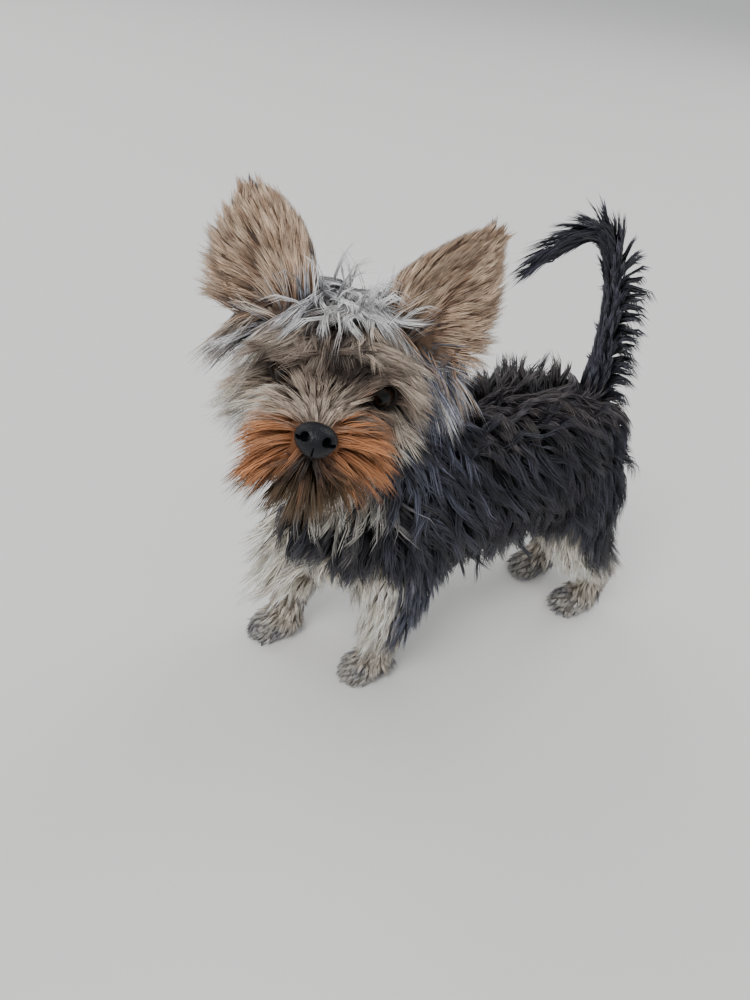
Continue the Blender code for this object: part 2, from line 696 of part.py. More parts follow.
def head_nodes(chance):
    made = []
    skull, cheeks = (Form(line, LEFT, HEAD, 14, HEAD_FILL) for line in (SKULL, CHEEKS))
    muzzle, jaw = (Form(line, LEFT, HEAD, 10, HEAD_FILL) for line in (MUZZLE, JAW))
    forms = [skull, cheeks, muzzle, jaw]
    for side, sign in (("left", 1), ("right", -1)):
        eye = Ball((sign * EYE_AT.x, EYE_AT.y, EYE_AT.z), (EYE_RADIUS,) * 3, HEAD, 10, 8)
        made.append(Node("eye_" + side, "eye", [eye]))
        forms.append(Ring(lid_place(sign), LID_RADIUS, LID_THICKNESS))
        ear = Form(EARS[side], ear_side(sign), HEAD, 10)
        fringe = ear_fringe(ear, chance)
        made.append(
            Node("ear_" + side, "tan_coat", [ear], [ear_cup(EARS[side], sign)], fringe,
                 ["head", "neck"])
        )
    nostrils = [
        Ball((sign * NOSTRIL_AT.x, NOSTRIL_AT.y, NOSTRIL_AT.z), NOSTRIL_HALVES, HEAD, 8, 6)
        for sign in (1, -1)
    ]
    pad = Ball(NOSE_AT, NOSE_HALVES, HEAD, 12, 8)
    made.append(Node("nose", "nose_leather", [pad], nostrils))
    locks = head_coat(skull, muzzle, jaw, chance)
    mouth = Ball(MOUTH_AT, MOUTH_HALVES, HEAD, 12, 6)
    made.append(Node("head", "silver_coat", forms, [mouth], locks, ["eye_left", "eye_right", "nose"]))
    return made


def main():
    chance = random.Random(SEED)
    trunk, throat = Form(TORSO, sides=16), Form(NECK)
    made = [
        Node("torso", "black_coat", [trunk], [], body_coat(trunk, chance), ["neck", "head"]),
        Node("neck", "black_coat", [throat], [], ruff(throat, chance), ["head"]),
    ]
    made += head_nodes(chance)
    for name in LEGS:
        made += leg_nodes(name, chance)
    made += tail_nodes(chance)
    nodes = {node.name: node for node in made}
    built = [node.build(nodes) for node in made]
    stand_over_origin(built)
    parts = bpy.data.collections.new("yorkshire_terrier")
    bpy.context.scene.collection.children.link(parts)
    for obj in built:
        bpy.context.scene.collection.objects.unlink(obj)
        parts.objects.link(obj)


def stand_over_origin(objects):
    """Moves the whole model so that its box stands centred over the origin."""
    corners = [v.co for obj in objects for v in obj.data.vertices]
    middle = Vector(((min(c.x for c in corners) + max(c.x for c in corners)) / 2,
                     (min(c.y for c in corners) + max(c.y for c in corners)) / 2, 0))
    for obj in objects:
        obj.data.transform(Matrix.Translation(-middle))


main()
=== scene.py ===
"""The looks of a Yorkshire terrier puppy: skin, eyes, nose, claws and a combed coat over its frame."""

import math

import bmesh
import bpy
import numpy as np
from mathutils import Matrix, Vector
from mathutils.bvhtree import BVHTree
from mathutils.kdtree import KDTree


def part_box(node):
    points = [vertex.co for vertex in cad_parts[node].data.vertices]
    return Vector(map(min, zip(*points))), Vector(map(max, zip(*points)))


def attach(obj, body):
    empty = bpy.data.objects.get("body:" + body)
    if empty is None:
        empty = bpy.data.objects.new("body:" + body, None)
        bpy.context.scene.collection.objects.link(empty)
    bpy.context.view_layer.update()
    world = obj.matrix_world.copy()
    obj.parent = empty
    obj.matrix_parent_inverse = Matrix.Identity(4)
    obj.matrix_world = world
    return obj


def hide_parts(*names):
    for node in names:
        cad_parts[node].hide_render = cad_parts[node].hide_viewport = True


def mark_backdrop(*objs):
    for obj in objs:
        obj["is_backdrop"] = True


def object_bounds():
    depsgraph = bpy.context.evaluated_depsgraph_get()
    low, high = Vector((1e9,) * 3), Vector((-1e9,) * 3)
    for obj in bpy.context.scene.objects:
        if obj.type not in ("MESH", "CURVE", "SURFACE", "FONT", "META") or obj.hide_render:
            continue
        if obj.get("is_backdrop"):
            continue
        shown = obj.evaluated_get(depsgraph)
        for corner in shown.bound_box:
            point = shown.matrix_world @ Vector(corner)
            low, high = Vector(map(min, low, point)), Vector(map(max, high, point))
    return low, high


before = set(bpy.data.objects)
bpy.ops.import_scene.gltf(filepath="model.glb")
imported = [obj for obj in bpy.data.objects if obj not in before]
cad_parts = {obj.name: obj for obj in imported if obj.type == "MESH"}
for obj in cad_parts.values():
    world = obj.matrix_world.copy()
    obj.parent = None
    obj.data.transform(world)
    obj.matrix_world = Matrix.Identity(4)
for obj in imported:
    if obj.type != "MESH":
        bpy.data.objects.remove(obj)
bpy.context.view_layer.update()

SEED = 7

# The head's own frame, as in the frame's source: +X is the dog's left, -Y faces forward
EYE_AT = Vector((0.0198, 0.0035, 0.0))
EYE_RADIUS = 0.0063
EYES = {1: Vector((0.0195, 0.0035, 0.0)), -1: Vector((-0.0172, 0.0020, -0.0008))}
head_turn = (
    Matrix.Translation((0.0204, -0.1013, 0.193))
    @ Matrix.Rotation(math.radians(62.5), 4, "Z")
    @ Matrix.Rotation(math.radians(-9), 4, "X")
    @ Matrix.Rotation(math.radians(10), 4, "Y")
)
eye_low, eye_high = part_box("eye_left")
PLACE = Matrix.Translation((eye_low + eye_high) / 2 - head_turn @ EYE_AT)
HEAD = PLACE @ head_turn
HEAD_BACK = np.array(HEAD.inverted())
HEAD_AXES = np.array(HEAD.to_3x3())

# Flesh: the centre, half width and half depth of each section, in metres
TORSO = [
    ((0, -0.098, 0.106), 0.014, 0.018), ((0, -0.090, 0.106), 0.023, 0.031),
    ((0, -0.078, 0.107), 0.029, 0.040), ((0, -0.058, 0.111), 0.033, 0.043),
    ((0, -0.028, 0.115), 0.034, 0.041), ((0, 0.005, 0.119), 0.033, 0.037),
    ((0, 0.030, 0.123), 0.031, 0.032), ((0, 0.047, 0.123), 0.028, 0.030),
    ((0, 0.060, 0.121), 0.022, 0.026), ((0, 0.069, 0.117), 0.014, 0.017),
]
NECK = [
    ((0.000, -0.050, 0.128), 0.030, 0.031), ((-0.002, -0.064, 0.146), 0.028, 0.029),
    ((-0.003, -0.076, 0.162), 0.025, 0.026), ((-0.003, -0.080, 0.174), 0.020, 0.021),
]
SKULL = [
    ((0, -0.0060, -0.001), 0.012, 0.010), ((0, -0.002, 0.002), 0.0195, 0.016),
    ((0, 0.008, 0.004), 0.026, 0.021), ((0, 0.022, 0.004), 0.029, 0.024),
    ((0, 0.036, 0.003), 0.028, 0.024), ((0, 0.048, 0.000), 0.023, 0.020),
    ((0, 0.056, -0.003), 0.013, 0.012),
]
MUZZLE = [
    ((0, -0.0315, -0.0135), 0.0085, 0.0062), ((0, -0.025, -0.0130), 0.0112, 0.0080),
    ((0, -0.017, -0.0120), 0.0130, 0.0092), ((0, -0.004, -0.0105), 0.0150, 0.0112),
    ((0, 0.012, -0.0100), 0.0175, 0.0135),
]
JAW = [
    ((0, -0.0240, -0.0250), 0.0052, 0.0030), ((0, -0.018, -0.0252), 0.0076, 0.0040),
    ((0, -0.009, -0.0255), 0.0098, 0.0050), ((0, 0.004, -0.0255), 0.0120, 0.0060),
    ((0, 0.022, -0.0245), 0.0140, 0.0080),
]
EARS = {
    1: [
        ((0.0270, 0.026, 0.0060), 0.0155, 0.0110), ((0.0310, 0.027, 0.0223), 0.0210, 0.0112),
        ((0.0345, 0.028, 0.0353), 0.0215, 0.0092), ((0.0380, 0.028, 0.0456), 0.0172, 0.0068),
        ((0.0411, 0.027, 0.0560), 0.0102, 0.0045), ((0.0445, 0.026, 0.0640), 0.0040, 0.0025),
    ],
    -1: [
        ((-0.0270, 0.026, 0.0060), 0.0155, 0.0110), ((-0.0325, 0.027, 0.0180), 0.0205, 0.0112),
        ((-0.0382, 0.029, 0.0300), 0.0208, 0.0092), ((-0.0418, 0.031, 0.0400), 0.0168, 0.0068),
        ((-0.0452, 0.033, 0.0465), 0.0105, 0.0045), ((-0.0485, 0.034, 0.0510), 0.0040, 0.0025),
    ],
}
EAR_FACING = math.radians(22)
FRONT = [(0.012, 0.019), (0.0125, 0.017), (0.0115, 0.0135), (0.0090, 0.0100), (0.0078, 0.0085),
         (0.0078, 0.0085), (0.0070, 0.0078)]
HIND = [(0.012, 0.018), (0.0135, 0.018), (0.0125, 0.016), (0.0100, 0.0125), (0.0078, 0.0095),
        (0.0070, 0.0085), (0.0068, 0.0078), (0.0074, 0.0080), (0.0070, 0.0078)]
LEGS = {
    "front_left": (FRONT, [
        (0.022, -0.062, 0.112), (0.026, -0.060, 0.092), (0.027, -0.058, 0.074),
        (0.0255, -0.059, 0.052), (0.0235, -0.061, 0.030), (0.0225, -0.062, 0.014),
        (0.0220, -0.063, 0.006),
    ], (0.0220, -0.0655)),
    "front_right": (FRONT, [
        (-0.022, -0.074, 0.112), (-0.026, -0.077, 0.092), (-0.028, -0.080, 0.074),
        (-0.0265, -0.087, 0.052), (-0.0245, -0.094, 0.030), (-0.0235, -0.099, 0.014),
        (-0.0230, -0.101, 0.006),
    ], (-0.0230, -0.1035)),
    "hind_left": (HIND, [
        (0.018, 0.053, 0.122), (0.023, 0.050, 0.102), (0.025, 0.050, 0.082),
        (0.0245, 0.062, 0.062), (0.0220, 0.077, 0.044), (0.0205, 0.086, 0.034),
        (0.0195, 0.087, 0.022), (0.0190, 0.086, 0.012), (0.0188, 0.084, 0.006),
    ], (0.0185, 0.0810)),
    "hind_right": (HIND, [
        (-0.018, 0.052, 0.122), (-0.023, 0.048, 0.102), (-0.025, 0.045, 0.082),
        (-0.0245, 0.055, 0.062), (-0.0220, 0.070, 0.044), (-0.0205, 0.079, 0.034),
        (-0.0195, 0.080, 0.022), (-0.0190, 0.078, 0.012), (-0.0188, 0.076, 0.006),
    ], (-0.0185, 0.0730)),
}
TAIL = [
    ((0, 0.052, 0.142), 0.0085, 0.0085), ((0, 0.0545, 0.156), 0.0062, 0.0062),
    ((0, 0.0545, 0.170), 0.0048, 0.0048), ((0, 0.0525, 0.186), 0.0042, 0.0042),
    ((0, 0.0490, 0.203), 0.0038, 0.0038), ((0, 0.0430, 0.2195), 0.0034, 0.0034),
    ((0, 0.0360, 0.231), 0.0032, 0.0032), ((0, 0.0275, 0.2365), 0.0028, 0.0028),
    ((0, 0.0175, 0.2345), 0.0024, 0.0024), ((0, 0.0075, 0.2290), 0.0016, 0.0016),
]


def unit(v):
    return v / np.maximum(np.linalg.norm(v, axis=-1, keepdims=True), 1e-9)


class Form:
    """A length of flesh: elliptical sections along a line."""

    def __init__(self, stations, place=PLACE, side=(1, 0, 0)):
        turn = place.to_3x3()
        self.side = unit(np.array(turn @ Vector(side)))
        self.centres = np.array([place @ Vector(c) for c, _, _ in stations])
        self.halves = np.array([(w, d) for _, w, d in stations])
        ahead = np.vstack([self.centres[1:], self.centres[-1:]])
        behind = np.vstack([self.centres[:1], self.centres[:-1]])
        self.along = unit(ahead - behind)

    def build(self, bm, sides=20):
        cap, before = None, None
        for centre, (wide, deep), z in zip(self.centres, self.halves, self.along):
            x = unit(self.side - z * self.side.dot(z))
            y = np.cross(z, x)
            turn = Matrix(np.array((x, y, z)).T.tolist()).to_4x4()
            turn.translation = Vector(centre)
            after = turn @ Matrix.Diagonal((wide, deep, 1, 1))
            if cap is None:
                made = bmesh.ops.create_circle(
                    bm, cap_ends=True, segments=sides, radius=1, matrix=after
                )
                cap = made["verts"][0].link_faces[0]
            else:
                made = bmesh.ops.extrude_face_region(bm, geom=[cap, *cap.edges])["geom"]
                cap = next(g for g in made if isinstance(g, bmesh.types.BMFace))
                bmesh.ops.transform(bm, matrix=after @ before.inverted(), verts=cap.verts)
            before = after

    def coords(self, points):
        """Each point's share of the length, its angle round it, and how far out it lies."""
        best = np.full(len(points), 1e9)
        share, angle = np.zeros(len(points)), np.zeros(len(points))
        along = np.zeros((len(points), 3))
        count = len(self.centres) - 1
        for i in range(count):
            a, b = self.centres[i], self.centres[i + 1]
            part = np.clip((points - a) @ (b - a) / ((b - a) @ (b - a)), 0, 1)[:, None]
            z = unit(self.along[i] * (1 - part) + self.along[i + 1] * part)
            x = unit(self.side - z * (z @ self.side)[:, None])
            y = np.cross(x, z)
            away = points - (a * (1 - part) + b * part)
            half = self.halves[i] * (1 - part) + self.halves[i + 1] * part
            dx, dy, dz = (np.sum(away * axis, axis=1) for axis in (x, y, z))
            ratio = np.sqrt((dx / half[:, 0]) ** 2 + (dy / half[:, 1]) ** 2
                            + (dz / half.min(axis=1)) ** 2)
            near = ratio < best
            best[near] = ratio[near]
            share[near] = (i + part[near, 0]) / count
            angle[near] = np.arctan2(dx, dy)[near]
            along[near] = z[near]
        return share, angle, best, along


def new_object(name, bm=None, mesh=None):
    if mesh is None:
        mesh = bpy.data.meshes.new(name)
        bm.to_mesh(mesh)
        bm.free()
    obj = bpy.data.objects.new(name, mesh)
    bpy.context.scene.collection.objects.link(obj)
    return obj


def finished(obj):
    """The object's mesh with its modifiers applied."""
    graph = bpy.context.evaluated_depsgraph_get()
    graph.update()
    mesh = bpy.data.meshes.new_from_object(obj.evaluated_get(graph))
    obj.modifiers.clear()
    obj.data = mesh
    return obj


def place_ball(bm, centre, halves, place=PLACE, segments=16, rings=12):
    matrix = place @ Matrix.Translation(centre) @ Matrix.Diagonal((*halves, 1))
    bmesh.ops.create_uvsphere(bm, u_segments=segments, v_segments=rings, radius=1, matrix=matrix)


# Shader maths: sockets that take Python's operators

class Value:
    def __init__(self, tree, socket):
        self.tree, self.socket = tree, socket

    def math(self, operation, other=None, clamp=False):
        sockets = [self, other] if other is not None else [self]
        return node(self.tree, "ShaderNodeMath", {"operation": operation, "use_clamp": clamp},
                    dict(enumerate(sockets)))

    def __add__(self, other):
        return self.math("ADD", other)

    def __mul__(self, other):
        return self.math("MULTIPLY", other)

    def __sub__(self, other):
        return self.math("SUBTRACT", other)

    __radd__ = __add__
    __rmul__ = __mul__


def node(tree, kind, settings=None, values=None, out=0):
    """A node with its settings made first, and then the values or links of its sockets."""
    made = tree.nodes.new(kind)
    for name, value in (settings or {}).items():
        if name == "stops":
            ramp = made.color_ramp
            for stop, (where, colour) in zip(ramp.elements, value[:2]):
                stop.position, stop.color = where, colour
            for where, colour in value[2:]:
                ramp.elements.new(where).color = colour
        else:
            setattr(made, name, value)
    for name, value in (values or {}).items():
        socket = made.inputs[name]
        if isinstance(value, Value):
            tree.links.new(value.socket, socket)
        else:
            socket.default_value = value
    return Value(tree, made.outputs[out])


def material(name, colour, roughness, **fixed):
    made = bpy.data.materials.new(name)
    made.use_nodes = True
    shader = made.node_tree.nodes["Principled BSDF"]
    shader.inputs["Base Color"].default_value = (*colour, 1)
    shader.inputs["Roughness"].default_value = roughness
    for socket, value in fixed.items():
        shader.inputs[socket.replace("_", " ")].default_value = value
    return made, made.node_tree, shader


def hair_material():
    """Every hair carries its tint from root to tip, the root darker partly with painted shade deep in the
    coat.
    """
    made, tree, shader = material("coat", (0.1, 0.1, 0.1), 0.42, Specular_IOR_Level=0.45)
    tint = node(tree, "ShaderNodeAttribute", {"attribute_name": "tint"})
    tree.links.new(tint.socket, shader.inputs["Base Color"])
    return made


def skin_material():
    """The skin under the coat carries the coat's own markings, mottled."""
    made, tree, shader = material("skin", (0.1, 0.08, 0.07), 0.7, Specular_IOR_Level=0.3)
    tint = node(tree, "ShaderNodeAttribute", {"attribute_name": "tint"})
    place = node(tree, "ShaderNodeTexCoord", out=3)
    mottle = node(tree, "ShaderNodeTexNoise", {}, {"Vector": place, "Scale": 400.0, "Detail": 3.0})
    dark = node(tree, "ShaderNodeMix", {"data_type": "RGBA", "blend_type": "MULTIPLY"},
                {"Factor": mottle, 6: tint, 7: (0.6, 0.55, 0.5, 1)}, out=2)
    tree.links.new(dark.socket, shader.inputs["Base Color"])
    bump = node(tree, "ShaderNodeBump", {}, {"Height": mottle, "Strength": 0.5, "Distance": 0.0004})
    tree.links.new(bump.socket, shader.inputs["Normal"])
    return made


def nose_material():
    made, tree, shader = material("nose_leather", (0.006, 0.0065, 0.009), 0.40,
                                  Specular_IOR_Level=0.24)
    place = node(tree, "ShaderNodeTexCoord", out=3)
    pebbles = node(tree, "ShaderNodeTexVoronoi", {"feature": "SMOOTH_F1"},
                   {"Vector": place, "Scale": 1700.0})
    bump = node(tree, "ShaderNodeBump", {},
                {"Height": pebbles, "Strength": 0.55, "Distance": 0.0003})
    tree.links.new(bump.socket, shader.inputs["Normal"])
    return made


# Colours of hair, linear, near the root and at the tip; the darker roots are partly the hair's own colour
# and partly painted shade deep in the coat
BLACK = ((0.005, 0.005, 0.008), (0.030, 0.029, 0.040))
STEEL = ((0.045, 0.050, 0.075), (0.155, 0.165, 0.225))
SILVER = ((0.22, 0.22, 0.24), (0.66, 0.65, 0.65))
WHITE = ((0.36, 0.36, 0.37), (0.90, 0.89, 0.87))
BEIGE = ((0.24, 0.18, 0.14), (0.60, 0.49, 0.39))
TAUPE = ((0.13, 0.095, 0.075), (0.30, 0.23, 0.18))
RUST = ((0.28, 0.105, 0.040), (0.58, 0.25, 0.105))
# painted shade: rust darkened where shade falls under the moustache, along the mouth line
PAINTED_SHADE_RUST = ((0.06, 0.028, 0.016), (0.20, 0.095, 0.045))
UMBER = ((0.045, 0.027, 0.015), (0.125, 0.080, 0.042))
CREAM = ((0.60, 0.53, 0.43), (1.0, 0.94, 0.82))
TAN = ((0.24, 0.13, 0.08), (0.46, 0.29, 0.18))
BLOND = ((0.38, 0.24, 0.15), (0.78, 0.60, 0.44))
DARK = ((0.020, 0.014, 0.012), (0.065, 0.046, 0.038))

# The combing of the face: where (mm), which way, length and loft (mm), how close it lies, colour
FACE_HAIR = [
    ((-7, 19, 26), (0.04, -1.00, -0.09), 26, 5, 0.7, WHITE),
    ((-1, 18, 27), (0.28, -0.96, -0.05), 22, 5, 0.7, WHITE),
    ((-12, 19, 25), (-0.36, -0.90, -0.27), 24, 5, 0.7, WHITE),
    ((-16, 18, 25), (-0.62, -0.50, -0.60), 22, 5, 0.7, SILVER),
    ((-19, 16, 26), (-0.66, -0.30, -0.69), 21, 4, 0.4, STEEL),
    ((-16, 21, 28), (-0.81, -0.35, -0.47), 17, 4, 0.7, STEEL),
    ((-23, 20, 17), (-0.64, -0.33, -0.69), 21, 5, 0.4, SILVER),
    ((-25, 16, 14), (-0.63, -0.35, -0.70), 23, 5, 0.15, BEIGE),
    ((-30, 27, 15), (-0.61, -0.35, -0.71), 23, 5, 0.15, BEIGE),
    ((-32, 16, 6), (-0.62, -0.35, -0.71), 19, 5, 0.15, SILVER),
    ((-28, 21, 0), (-0.63, -0.36, -0.69), 23, 5, 0.15, BEIGE),
    ((6, 29, 27), (0.60, -0.80, -0.01), 24, 5, 0.7, WHITE),
    ((12, 19, 27), (0.86, -0.28, -0.42), 22, 5, 0.7, SILVER),
    ((16, 30, 27), (0.81, -0.45, -0.38), 26, 4, 0.4, STEEL),
    ((21, 21, 21), (0.72, -0.36, -0.59), 23, 4, 0.7, SILVER),
    ((26, 26, 17), (0.71, -0.40, -0.58), 29, 4, 0.15, STEEL),
    ((32, 25, 8), (0.67, -0.44, -0.60), 29, 4, 0.15, SILVER),
    ((34, 19, 5), (0.60, -0.48, -0.64), 27, 4, 0.15, STEEL),
    ((8, 10, 24), (0.92, -0.30, -0.26), 15, 4, 0.7, BEIGE),
    ((4, 3, 23), (0.50, -0.82, -0.29), 12, 3, 0.7, BEIGE),
    ((-3, 0, 21), (0.24, -0.89, -0.38), 13, 2.5, 0.7, DARK),
    ((-8, 1, 20), (0.25, -0.89, -0.39), 13, 2.5, 0.7, DARK),
    ((1, 2, 22), (0.27, -0.89, -0.36), 14, 2.5, 0.7, DARK),
    ((3, 6, 24), (0.15, -0.88, -0.45), 14, 2.5, 0.7, DARK),
    ((-2, 7, 24), (0.10, -0.88, -0.45), 14, 2.5, 0.7, DARK),
    ((-11, -1, 18), (-0.83, -0.33, -0.45), 15, 4, 0.7, BEIGE),
    ((-13, -6, 12), (-0.82, -0.31, -0.47), 14, 3, 0.4, TAUPE),
    ((10, -2, 18), (0.99, -0.10, 0.11), 16, 4, 0.4, BEIGE),
    ((17, 3, 16), (0.96, -0.24, -0.15), 17, 4, 0.4, BEIGE),
    ((12, -6, 14), (0.98, -0.08, 0.20), 13, 2, 0.4, TAUPE),
    ((23, -2, 10), (0.91, -0.31, -0.27), 16, 4, 0.15, BEIGE),
    ((26, 2, 1), (0.93, -0.30, -0.24), 16, 4, 0.15, TAUPE),
    ((28, 12, -11), (0.95, -0.28, -0.14), 17, 4, 0.15, TAUPE),
    ((23, 5, -12), (0.96, -0.27, -0.07), 16, 3, 0.15, BEIGE),
    ((27, 10, -12), (0.88, -0.37, -0.32), 22, 5, 0.15, BEIGE),
    ((26, 9, -13), (0.66, -0.49, -0.58), 27, 6, 0.15, CREAM),
    ((27, 10, -12), (0.85, -0.40, -0.34), 25, 6, 0.15, CREAM),
    ((34, 19, 5), (0.64, -0.47, -0.61), 28, 5, 0.15, STEEL),
    ((25, 8, -15), (0.52, -0.53, -0.67), 28, 6, 0.15, CREAM),
    ((-3, -22, -4), (-0.32, 0.27, 0.91), 9, 1.5, 0.7, BEIGE),
    ((1, -27, -5), (0.10, 0.35, 0.90), 7, 1.5, 0.7, BEIGE),
    ((4, -24, -4), (0.45, 0.30, 0.80), 8, 1.5, 0.7, BEIGE),
    ((-5, -25, -5), (-0.60, 0.30, 0.70), 7, 1.5, 0.7, BEIGE),
    ((-1, -19, -3), (0.04, 0.30, 0.95), 10, 2, 0.7, BEIGE),
    ((-6, -21, -5), (-0.73, 0.14, 0.67), 9, 2, 0.7, BEIGE),
    ((2, -20, -4), (0.44, 0.23, 0.87), 9, 1.5, 0.7, BEIGE),
    ((-8, -22, -6), (-0.85, 0.07, 0.53), 9, 1.5, 0.7, BEIGE),
    ((6, -20, -4), (0.57, 0.18, 0.80), 9, 1.5, 0.7, BEIGE),
    ((0, -10, 4), (0.08, -0.11, 0.99), 9, 2.5, 0.7, DARK),
    ((-3, -9, 3), (-0.22, -0.22, 0.95), 10, 2.5, 0.7, TAUPE),
    ((-9, -7, -1), (-0.70, -0.12, 0.70), 7, 1.5, 0.7, TAUPE),
    ((6, -10, 8), (0.37, 0.20, 0.91), 6, 1.5, 0.7, DARK),
    ((9, -8, 11), (0.93, -0.00, 0.38), 9, 1.5, 0.7, DARK),
    ((14, -7, 7), (0.84, 0.07, 0.53), 7, 1.2, 0.7, TAUPE),
    ((-17, -4, 6), (-0.99, -0.11, -0.05), 5, 1.5, 0.7, TAUPE),
    ((9, -19, -6), (0.86, -0.01, 0.50), 12, 1.5, 0.4, TAUPE),
    ((17, 4, -11), (0.98, -0.15, 0.14), 11, 1.5, 0.7, TAUPE),
    ((-11, -21, -9), (-0.96, -0.06, 0.28), 10, 2, 0.4, BEIGE),
    ((-15, -2, -10), (-0.95, -0.28, -0.13), 12, 2.5, 0.4, CREAM),
    ((-20, 5, -10), (-0.89, -0.30, -0.33), 15, 3, 0.4, BEIGE),
    ((-24, 8, -17), (-0.86, -0.35, -0.36), 17, 4, 0.15, CREAM),
    ((-29, 17, -11), (-0.79, -0.39, -0.47), 21, 5, 0.15, BEIGE),
    ((-28, 13, -16), (-0.85, -0.12, -0.52), 25, 5, 0.15, CREAM),
    ((-22, 11, -21), (-0.75, -0.41, -0.52), 19, 4, 0.15, CREAM),
    ((-10, -26, -10), (-0.97, -0.20, 0.09), 16, 2.5, 0.15, RUST),
    ((-9, -29, -12), (-0.95, -0.32, -0.06), 20, 4, 0.15, RUST),
    ((-9, -30, -15), (-0.88, 0.12, -0.46), 26, 5, 0.15, RUST),
    ((-8, -31, -17), (-0.79, 0.12, -0.60), 29, 5, 0.15, RUST),
    ((-12, -21, -14), (-0.91, -0.22, -0.35), 22, 5, 0.15, RUST),
    ((-11, -26, -19), (-0.80, 0.00, -0.60), 24, 5, 0.15, RUST),
    ((-9, -29, -21), (-0.72, -0.52, -0.46), 20, 4, 0.15, RUST),
    # painted shade: darker rust under the moustache, just above the mouth
    ((-4, -31, -20), (-0.89, -0.39, -0.22), 13, 3, 0.4, PAINTED_SHADE_RUST),
    ((-20, 11, -21), (-0.60, -0.47, -0.65), 19, 3, 0.15, BEIGE),
    ((7, -24, -6), (0.88, -0.05, 0.48), 17, 2.5, 0.15, RUST),
    ((8, -28, -8), (0.97, 0.15, 0.22), 21, 4, 0.15, RUST),
    ((8, -31, -12), (0.93, 0.36, -0.02), 25, 4, 0.15, RUST),
    ((8, -31, -16), (0.91, 0.37, -0.20), 27, 4, 0.15, RUST),
    ((13, -14, -10), (0.95, -0.32, 0.05), 19, 5, 0.15, RUST),
    ((13, -17, -13), (0.96, -0.16, -0.23), 22, 5, 0.15, RUST),
    ((11, -24, -17), (0.87, 0.16, -0.47), 29, 5, 0.15, RUST),
    # painted shade: darker rust under the moustache, just above the mouth
    ((10, -29, -18), (0.85, 0.28, -0.45), 22, 4, 0.15, PAINTED_SHADE_RUST),
    ((4, -32, -18), (0.99, 0.13, -0.01), 13, 3, 0.7, PAINTED_SHADE_RUST),
    ((1, -31, -18), (0.10, -0.67, -0.73), 5, 1.5, 0.7, DARK),
    ((-2, -23, -28), (-0.65, -0.58, -0.49), 19, 4, 0.15, UMBER),
    ((-5, -22, -27), (-0.72, -0.55, -0.42), 24, 5, 0.15, UMBER),
    ((0, -23, -28), (-0.22, -0.69, -0.69), 18, 4, 0.15, UMBER),
    ((3, -23, -28), (0.18, -0.71, -0.69), 19, 4, 0.15, UMBER),
    ((5, -23, -26), (0.62, -0.46, -0.64), 19, 4, 0.15, UMBER),
    ((7, -29, -22), (0.77, 0.19, -0.61), 24, 4, 0.15, UMBER),
    ((9, -29, -21), (0.84, 0.28, -0.46), 27, 5, 0.15, UMBER),
    ((-2, -23, -28), (-0.37, -0.68, -0.64), 23, 5, 0.15, UMBER),
    ((-5, -22, -27), (-0.58, -0.62, -0.52), 27, 5, 0.15, UMBER),
    ((1, -23, -28), (0.01, -0.73, -0.69), 22, 5, 0.15, UMBER),
    ((4, -23, -27), (0.58, -0.42, -0.69), 21, 5, 0.15, UMBER),
    ((-8, -20, -26), (-0.84, -0.20, -0.50), 28, 5, 0.15, UMBER),
    ((-10, -14, -26), (-0.82, -0.05, -0.56), 29, 5, 0.15, UMBER),
    ((-11, -8, -26), (-0.70, 0.05, -0.71), 29, 5, 0.15, DARK),
    ((14, -4, -24), (0.55, -0.40, -0.73), 24, 6, 0.15, CREAM),
    ((18, 4, -22), (0.60, -0.42, -0.68), 25, 6, 0.15, CREAM),
    ((8, -29, -22), (0.75, 0.22, -0.62), 28, 5, 0.15, UMBER),
]
# And of the back and underside of the head, on its left, mirrored to its right
BACK_HAIR = [
    ((6, 38, 27), (0.75, 0.4, 0.0), 20, 4.5, 0.7, SILVER),
    ((4, 48, 21), (0.3, 0.3, -0.9), 18, 4.5, 0.7, SILVER),
    ((20, 38, 18), (0.6, 0.3, -0.7), 26, 4.5, 0.7, STEEL),
    ((28, 34, 4), (0.45, 0.05, -0.9), 30, 5, 0.6, STEEL),
    ((24, 36, -12), (0.5, 0.0, -0.85), 30, 6, 0.6, STEEL),
    ((18, 16, -24), (0.55, -0.1, -0.85), 28, 7, 0.4, CREAM),
    ((0, 8, -32), (0.05, -0.2, -1.0), 26, 6, 0.2, CREAM),
    ((0, -8, -31), (0.05, -0.25, -0.95), 24, 5, 0.2, UMBER),
    ((8, 24, -30), (0.3, 0.0, -0.95), 26, 6, 0.5, CREAM),
    ((0, 57, 6), (0.1, 0.15, -1.0), 22, 4, 0.7, BLACK),
    ((12, 52, -2), (0.35, 0.1, -0.95), 24, 5, 0.7, STEEL),
]


def combed(table, signs):
    """Each row of combing as points, ways, lengths, lofts, hold to the skin and colours."""
    rows = []
    for where, way, length, loft, hug, (root, tip) in table:
        for sign in signs:
            rows.append([sign * where[0], where[1], where[2], sign * way[0], way[1], way[2],
                         length, loft, hug, *root, *tip])
    return rows


combing = np.array(combed(FACE_HAIR, (1,)) + combed(BACK_HAIR, (1, -1)), float)
combing[:, :3] /= 1000
combing[:, 3:6] = unit(combing[:, 3:6])
combing[:, 6:8] /= 1000


def smooth(value, low, high):
    t = np.clip((value - low) / (high - low), 0, 1)
    return t * t * (3 - 2 * t)


def mixed(a, b, share):
    share = np.asarray(share, float)[..., None]
    return a * (1 - share) + b * share


def wander(points, scale, seed):
    """A smooth value from about -1 to 1 that wanders over the dog, some scale apart."""
    chance = np.random.default_rng(seed)
    total = np.zeros(len(points))
    for _ in range(6):
        way = unit(chance.normal(size=3)) * (2 * math.pi / scale) * chance.uniform(0.6, 1.5)
        total += np.sin(points @ way + chance.uniform(0, 2 * math.pi))
    return total / 3


# Forms and what grows on them

forms, kinds = [], []


def add_form(kind, form):
    forms.append(form)
    kinds.append(kind)
    return form


